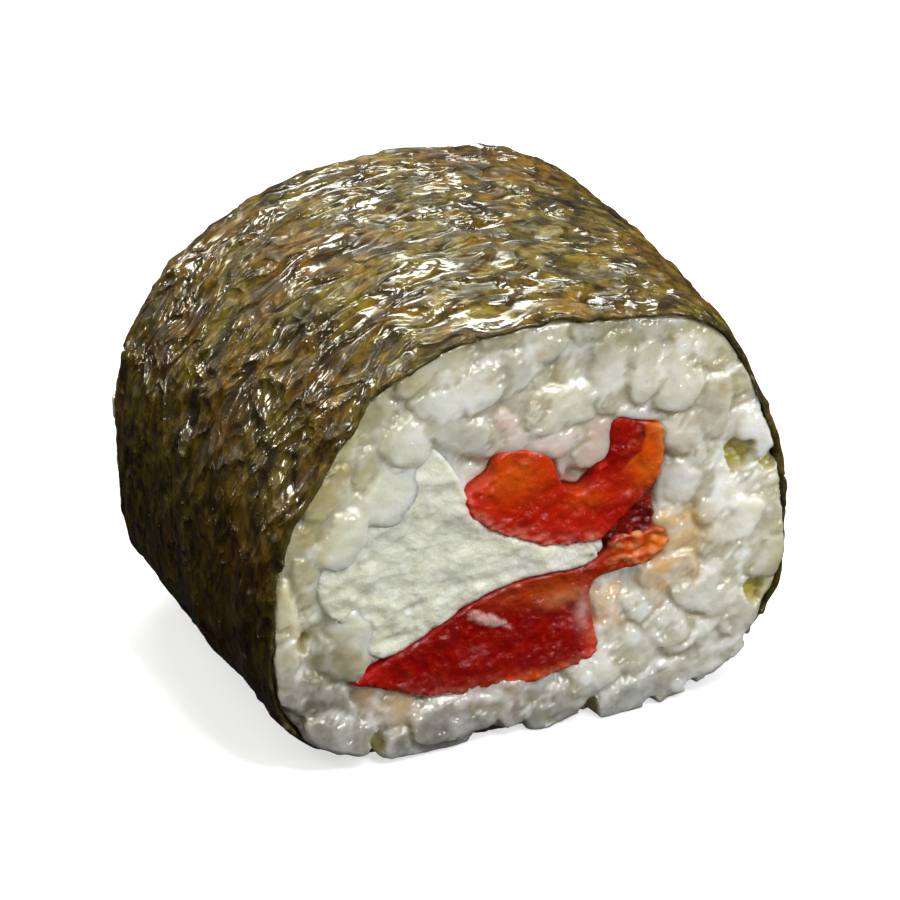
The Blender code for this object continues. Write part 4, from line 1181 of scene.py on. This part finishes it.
def make_rice_face(name, end, sets, gaps, material, voxel):
    """The cooked grains of one cut face, stuck to each other where they touch."""
    bodies = [grain_bodies(*one) for one in sets]
    offset, points, tris = 0, [], []
    for p, t, *_ in bodies:
        points.append(p)
        tris.append(t + offset)
        offset += len(p)
    points, tris = np.concatenate(points), np.concatenate(tris)
    colours = np.concatenate([b[2] for b in bodies])
    bare = np.concatenate([b[3] for b in bodies])
    which = np.concatenate([b[4] + 1000 * k for k, b in enumerate(bodies)])
    h, starch = starch_maps(points, tris, bare, end, gaps)
    sp, st = starch_body(starch, end)
    p, quads = one_skin(np.vstack([points, sp]), np.concatenate([tris, st + len(points)]), voxel)
    p = relaxed(p, quads, 1, 0.5)
    # small openings between grains, down to the sheet
    for x, z, r in gaps:
        back = 0.80 * gap_share(p, x, z, r) * (standing(p, end) > -1.3)
        p[:, 1] += back if end == 0 else -back
    # what nothing shows needs no fine mesh: the slab's far side and what lies under the fillings
    rise = standing(p, end)
    depth = p[:, 1] + LENGTH / 2 if end == 0 else LENGTH / 2 - p[:, 1]
    under = filling_distance(p[:, [0, 2]], end)
    hidden = (depth > 2.9) | ((under < -1.1) & (rise < -0.5))
    coarse = np.round(p / 0.9) * 0.9
    far = np.hypot(coarse[:, 0], coarse[:, 2])
    room = inner_radius(np.degrees(np.arctan2(coarse[:, 2], coarse[:, 0])), coarse[:, 1]) - 0.55
    coarse[:, [0, 2]] *= np.minimum(1.0, room / np.maximum(far, 1e-6))[:, None]
    keys = np.where(hidden[:, None], coarse + 1000.0, p)
    _, first, index = np.unique(keys, axis=0, return_index=True, return_inverse=True)
    index = index.reshape(-1)
    p = np.where(hidden[first][:, None], coarse[first], p[first])
    tri = np.concatenate([index[quads[:, [0, 1, 2]]], index[quads[:, [0, 2, 3]]]])
    tri = tri[(tri[:, 0] != tri[:, 1]) & (tri[:, 1] != tri[:, 2]) & (tri[:, 0] != tri[:, 2])]
    _, once = np.unique(np.sort(tri, 1), axis=0, return_index=True)
    tri = tri[np.sort(once)]
    used, index = np.unique(tri, return_inverse=True)
    tri = index.reshape(-1, 3)
    p = p[used]
    seen = ~hidden[first][used]
    under = under[first][used]
    rise = standing(p, end)
    # colour of the nearest grain, with painted shade in the hollows and olive where the sheet shows through
    tree = kdtree.KDTree(len(points))
    for i, q in enumerate(points):
        tree.insert(q, i)
    tree.balance()
    nearest = np.array([tree.find(q)[1] if show else 0 for q, show in zip(p, seen)])
    colour = relaxed(colours[nearest], tri, 2, 0.5)
    # a narrow groove where one grain meets the next
    ends = np.concatenate([tri[:, [0, 1]], tri[:, [1, 2]], tri[:, [2, 0]]])
    seam = np.zeros(len(p))
    seam[ends[which[nearest[ends[:, 0]]] != which[nearest[ends[:, 1]]]].ravel()] = 1.0
    seam = seam * seen * (under > 0.25)
    seam = relaxed(seam[:, None], tri, 1, 0.6)[:, 0]
    seam = seam * smooth(-0.60, 0.10, noise3(p / 1.4, 97) + 0.20)
    crest = sampled(blurred(spread_disc(h, 0.9, np.maximum), 0.5), p[:, 0], p[:, 2])
    # painted shade: darker where the skin lies below the grain tops around it
    painted_hollow_shade = smooth(0.12, 0.75, crest - rise)
    colour = colour + (np.array((0.40, 0.36, 0.20)) - colour) * (0.52 * painted_hollow_shade)[:, None]
    own_light = colour.mean(1) / 0.56
    if end == 0:
        for x, z, rx, rz, shade, strength in RICE_PAINTED_LIGHT_AND_SHADE:
            # painted light and shade: the face's uneven light put into the colour, keeping each grain's own contrast
            w = strength * np.exp(-(((p[:, 0] - x) / rx) ** 2 + ((p[:, 2] - z) / rz) ** 2))
            own = np.clip(own_light, 0.45, 1.6)[:, None]
            colour = colour + (np.array(shade) * own - colour) * w[:, None]
    smear = np.exp(-np.maximum(filling_distance(p[:, [0, 2]], end, ("cream_cheese",)), 0) / 0.9)
    smear = smear * smooth(-0.5, 0.3, noise3(p / 1.1, 98) + 0.35)
    colour = colour + (np.array((0.80, 0.81, 0.68)) - colour) * (0.85 * smear)[:, None]
    # painted shade darkens the grooves between grains in some places, and a painted highlight makes a bright line
    # along them in others
    wet = smooth(-0.05, 0.35, noise3(p / 1.9, 94))
    colour = colour + (np.array((0.42, 0.38, 0.22)) - colour) * (0.50 * seam * (1 - smear) * (1 - wet))[:, None]
    colour = colour + (np.array((0.95, 0.95, 0.92)) - colour) * (0.60 * seam * wet)[:, None]
    # painted shade where the skin lies far behind the face, outside the openings
    painted_deep_shade = smooth(-0.65, -1.05, rise)
    near_gap = np.zeros(len(p))
    for x, z, r in gaps:
        near_gap = np.maximum(near_gap, gap_share(p, x, z, r))
    colour = colour + (np.array((0.46, 0.42, 0.26)) - colour) * (0.6 * painted_deep_shade * (1 - near_gap))[:, None]
    colour = colour + (np.array((0.47, 0.385, 0.045)) - colour) * (0.95 * near_gap)[:, None]
    cloud = smooth(0.0, 0.7, noise3(p / 1.3, 95) + 0.5 * noise3(p / 0.6, 96))
    colour = colour + (np.array((0.88, 0.88, 0.85)) - colour) * (0.28 * cloud * (1 - painted_hollow_shade) * (1 - painted_deep_shade))[:, None]
    for x, z, r, spot in SPECKS if end == 0 else ():
        near = np.exp(-((p[:, 0] - x) ** 2 + (p[:, 2] - z) ** 2) / r ** 2)
        colour = colour + (np.array(spot) - colour) * (0.85 * near)[:, None]
    soft = relaxed(colour, tri, 1, 0.5)
    # fine unevenness of the skin
    n = normals_of(p, tri)
    push = 0.035 * noise3(p / 1.2, 91) + 0.025 * noise3(p / 0.5, 92) - 0.05 * np.abs(noise3(p / 0.95, 93))
    push = push + seam * (0.02 * wet - 0.11 * (1 - wet))
    p = p + n * (push * seen)[:, None]
    p[:, 2] = np.maximum(p[:, 2], -AXIS_HEIGHT + 0.02)
    obj = make_object(name, to_world(p[:, 0], p[:, 1], p[:, 2]), tri, material, np.clip(soft, 0.01, 1))
    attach(obj, "root")
    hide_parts("rice")
    print(name, len(p), "points", len(tri), "triangles")
    return obj


def make_core(material):
    """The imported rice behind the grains: the CAD node's form, its cut faces set back."""
    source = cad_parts["rice"].data
    co = np.empty(len(source.vertices) * 3, np.float32)
    source.vertices.foreach_get("co", co)
    p = co.reshape(-1, 3).astype(float) / MM
    p -= (CENTRE_X, 0, AXIS_HEIGHT)
    cap = np.abs(p[:, 1]) > 13.2
    q = np.stack([p[:, 0] / 2.4, p[:, 2] / 2.4, np.sign(p[:, 1]) * 3], -1)
    p[cap, 1] = np.sign(p[cap, 1]) * (np.abs(p[cap, 1]) - 2.5 + 0.35 * noise3(q[cap], 71))
    source.calc_loop_triangles()
    tris = np.empty(len(source.loop_triangles) * 3, np.int32)
    source.loop_triangles.foreach_get("vertices", tris)
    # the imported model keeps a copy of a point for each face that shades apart
    keys, index = np.unique(np.round(p, 4), axis=0, return_inverse=True)
    tris = index.reshape(-1)[tris.reshape(-1, 3)]
    tris = tris[(tris[:, 0] != tris[:, 1]) & (tris[:, 1] != tris[:, 2]) & (tris[:, 0] != tris[:, 2])]
    first = np.zeros(len(keys), int)
    first[index.reshape(-1)] = np.arange(len(p))
    p = p[first]
    ang = np.degrees(np.arctan2(p[:, 2], p[:, 0]))
    # painted shade: the core is coloured as rice in shadow, darker and olive towards the sheet
    shade = smooth(9.0, 17.5, np.hypot(p[:, 0] * 0.95, p[:, 2] * 1.15))
    colour = np.array((0.50, 0.44, 0.30)) + (np.array((0.22, 0.19, 0.045)) - np.array((0.50, 0.44, 0.30))) * shade[:, None]
    obj = make_object("rice_core", to_world(p[:, 0], p[:, 1], p[:, 2]), tris, material, colour)
    recalc(obj)
    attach(obj, "root")
    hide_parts("rice")
    return obj


# ---------------------------------------------------------------- build

nori = make_nori(nori_material())
rice_look = rice_material()
make_core(rice_look)
pepper_look = pepper_material()
make_filling("pepper_upper", pepper_look, 0.18, 0.08, 0.30, 0.16)
make_filling("pepper_lower", pepper_look, 0.18, 0.02, 0.28, 0.16)
make_filling("cream_cheese", cheese_material(), 0.20, -0.02, 0.50, 0.18)

heroes = [tuple(map(float, g)) for g in OPEN_GRAINS]
under = pack_layer(0, 82, 62, [], GAPS)
make_rice_face("rice_front", 0, ((heroes, 0, 0.0, 81, 26, 19), (under, 0, 1.25, 83, 16, 11, 0.4)),
               GAPS, rice_look, 0.142)
open_back = pack_layer(1, 86, 78, [], ())
open_back[:, 5] = (np.arange(len(open_back)) % 5 == 2).astype(float)
under_back = pack_layer(1, 88, 62, [], ())
make_rice_face("rice_back", 1, ((open_back, 1, 0.0, 87, 22, 15), (under_back, 1, 1.3, 89, 14, 10, 0.4)),
               (), rice_look, 0.19)

# ---------------------------------------------------------------- floor, light, camera

floor_mesh = bpy.data.meshes.new("floor")
floor_mesh.from_pydata([(-3, -3, -0.00005), (3, -3, -0.00005), (3, 3, -0.00005), (-3, 3, -0.00005)],
                       [], [(0, 1, 2, 3)])
floor = bpy.data.objects.new("floor", floor_mesh)
bpy.context.scene.collection.objects.link(floor)
fm = Nodes("floor_look")
fm.shader.inputs["Base Color"].default_value = (0.60, 0.60, 0.60, 1)
fm.shader.inputs["Roughness"].default_value = 0.9
fm.shader.inputs["Emission Color"].default_value = (1, 1, 1, 1)
fm.shader.inputs["Emission Strength"].default_value = 0.60
floor_mesh.materials.append(fm.material)
floor.visible_glossy = False
floor.visible_diffuse = False

# A dim room, darker below, so that dark and glossy food keeps its colour
world = bpy.data.worlds.new("studio")
world.use_nodes = True
wt = world.node_tree
background = wt.nodes["Background"]
coord = wt.nodes.new("ShaderNodeTexCoord")
split = wt.nodes.new("ShaderNodeSeparateXYZ")
fade = wt.nodes.new("ShaderNodeMapRange")
fade.inputs["From Min"].default_value, fade.inputs["From Max"].default_value = -0.15, 0.5
fade.inputs["To Min"].default_value, fade.inputs["To Max"].default_value = 0.03, 0.26
wt.links.new(coord.outputs["Generated"], split.inputs["Vector"])
wt.links.new(split.outputs["Z"], fade.inputs["Value"])
wt.links.new(fade.outputs["Result"], background.inputs["Strength"])
background.inputs["Color"].default_value = (0.95, 0.97, 1.0, 1)
bpy.context.scene.world = world


def area(name, place, aim, size, power, colour=(1, 1, 1), size_y=None):
    light = bpy.data.lights.new(name, "AREA")
    light.shape = "RECTANGLE"
    light.size, light.size_y = size, size_y or size
    light.energy = power
    light.color = colour
    obj = bpy.data.objects.new(name, light)
    obj.location = place
    obj.rotation_euler = (Vector(aim) - Vector(place)).to_track_quat("-Z", "Y").to_euler()
    obj.visible_camera = False
    bpy.context.scene.collection.objects.link(obj)
    return obj


aim = (0, 0, 0.015)
area("top_back", (0.08, 0.26, 0.26), aim, 0.24, 1.0, (0.96, 1.0, 0.94), 0.12)
area("low_back_left", (-0.28, 0.38, 0.10), aim, 0.07, 0.22, (1.0, 0.96, 0.76), 0.05)
area("back_left_high", (-0.15, 0.34, 0.22), aim, 0.12, 0.40, (1.0, 0.97, 0.82), 0.08)
area("low_front", (0.15, -0.34, 0.05), (0, -0.015, 0.016), 0.09, 0.13, (1.0, 1.0, 0.98), 0.04)
area("low_front_left", (-0.05, -0.30, 0.10), (0, -0.015, 0.016), 0.05, 0.07, (1.0, 1.0, 0.98), 0.03)
area("left_high", (-0.20, -0.10, 0.24), aim, 0.04, 0.14, (1.0, 0.96, 0.82), 0.05)
area("key", (0.085, -0.110, 0.15), (0.006, -0.010, 0.024), 0.10, 0.195, (1.0, 0.99, 0.96))
area("glint", (0.02, -0.20, 0.32), aim, 0.02, 0.30, (1.0, 1.0, 1.0))
area("front_soft", (0.14, -0.34, 0.20), aim, 0.10, 0.26, (1.0, 1.0, 1.0), 0.07)

RIGHT = Vector((0.91926, -0.39364, 0.0))
UP = Vector((0.18583, 0.43396, 0.88156))
FORWARD = Vector((0.34702, 0.81038, -0.47207))
near_centre = Vector((CENTRE_X, -LENGTH / 2, AXIS_HEIGHT)) * MM
place = near_centre - (5.517 * RIGHT - 6.207 * UP + 275.862 * FORWARD) * MM
cam = bpy.data.cameras.new("camera")
cam.lens, cam.sensor_width = 160.0, 36.0
cam.clip_start, cam.clip_end = 0.01, 20.0
camera = bpy.data.objects.new("camera", cam)
camera.matrix_world = Matrix(((RIGHT.x, UP.x, -FORWARD.x, place.x),
                              (RIGHT.y, UP.y, -FORWARD.y, place.y),
                              (RIGHT.z, UP.z, -FORWARD.z, place.z), (0, 0, 0, 1)))
bpy.context.scene.collection.objects.link(camera)
bpy.context.scene.camera = camera
bpy.context.scene.view_settings.view_transform = "Standard"
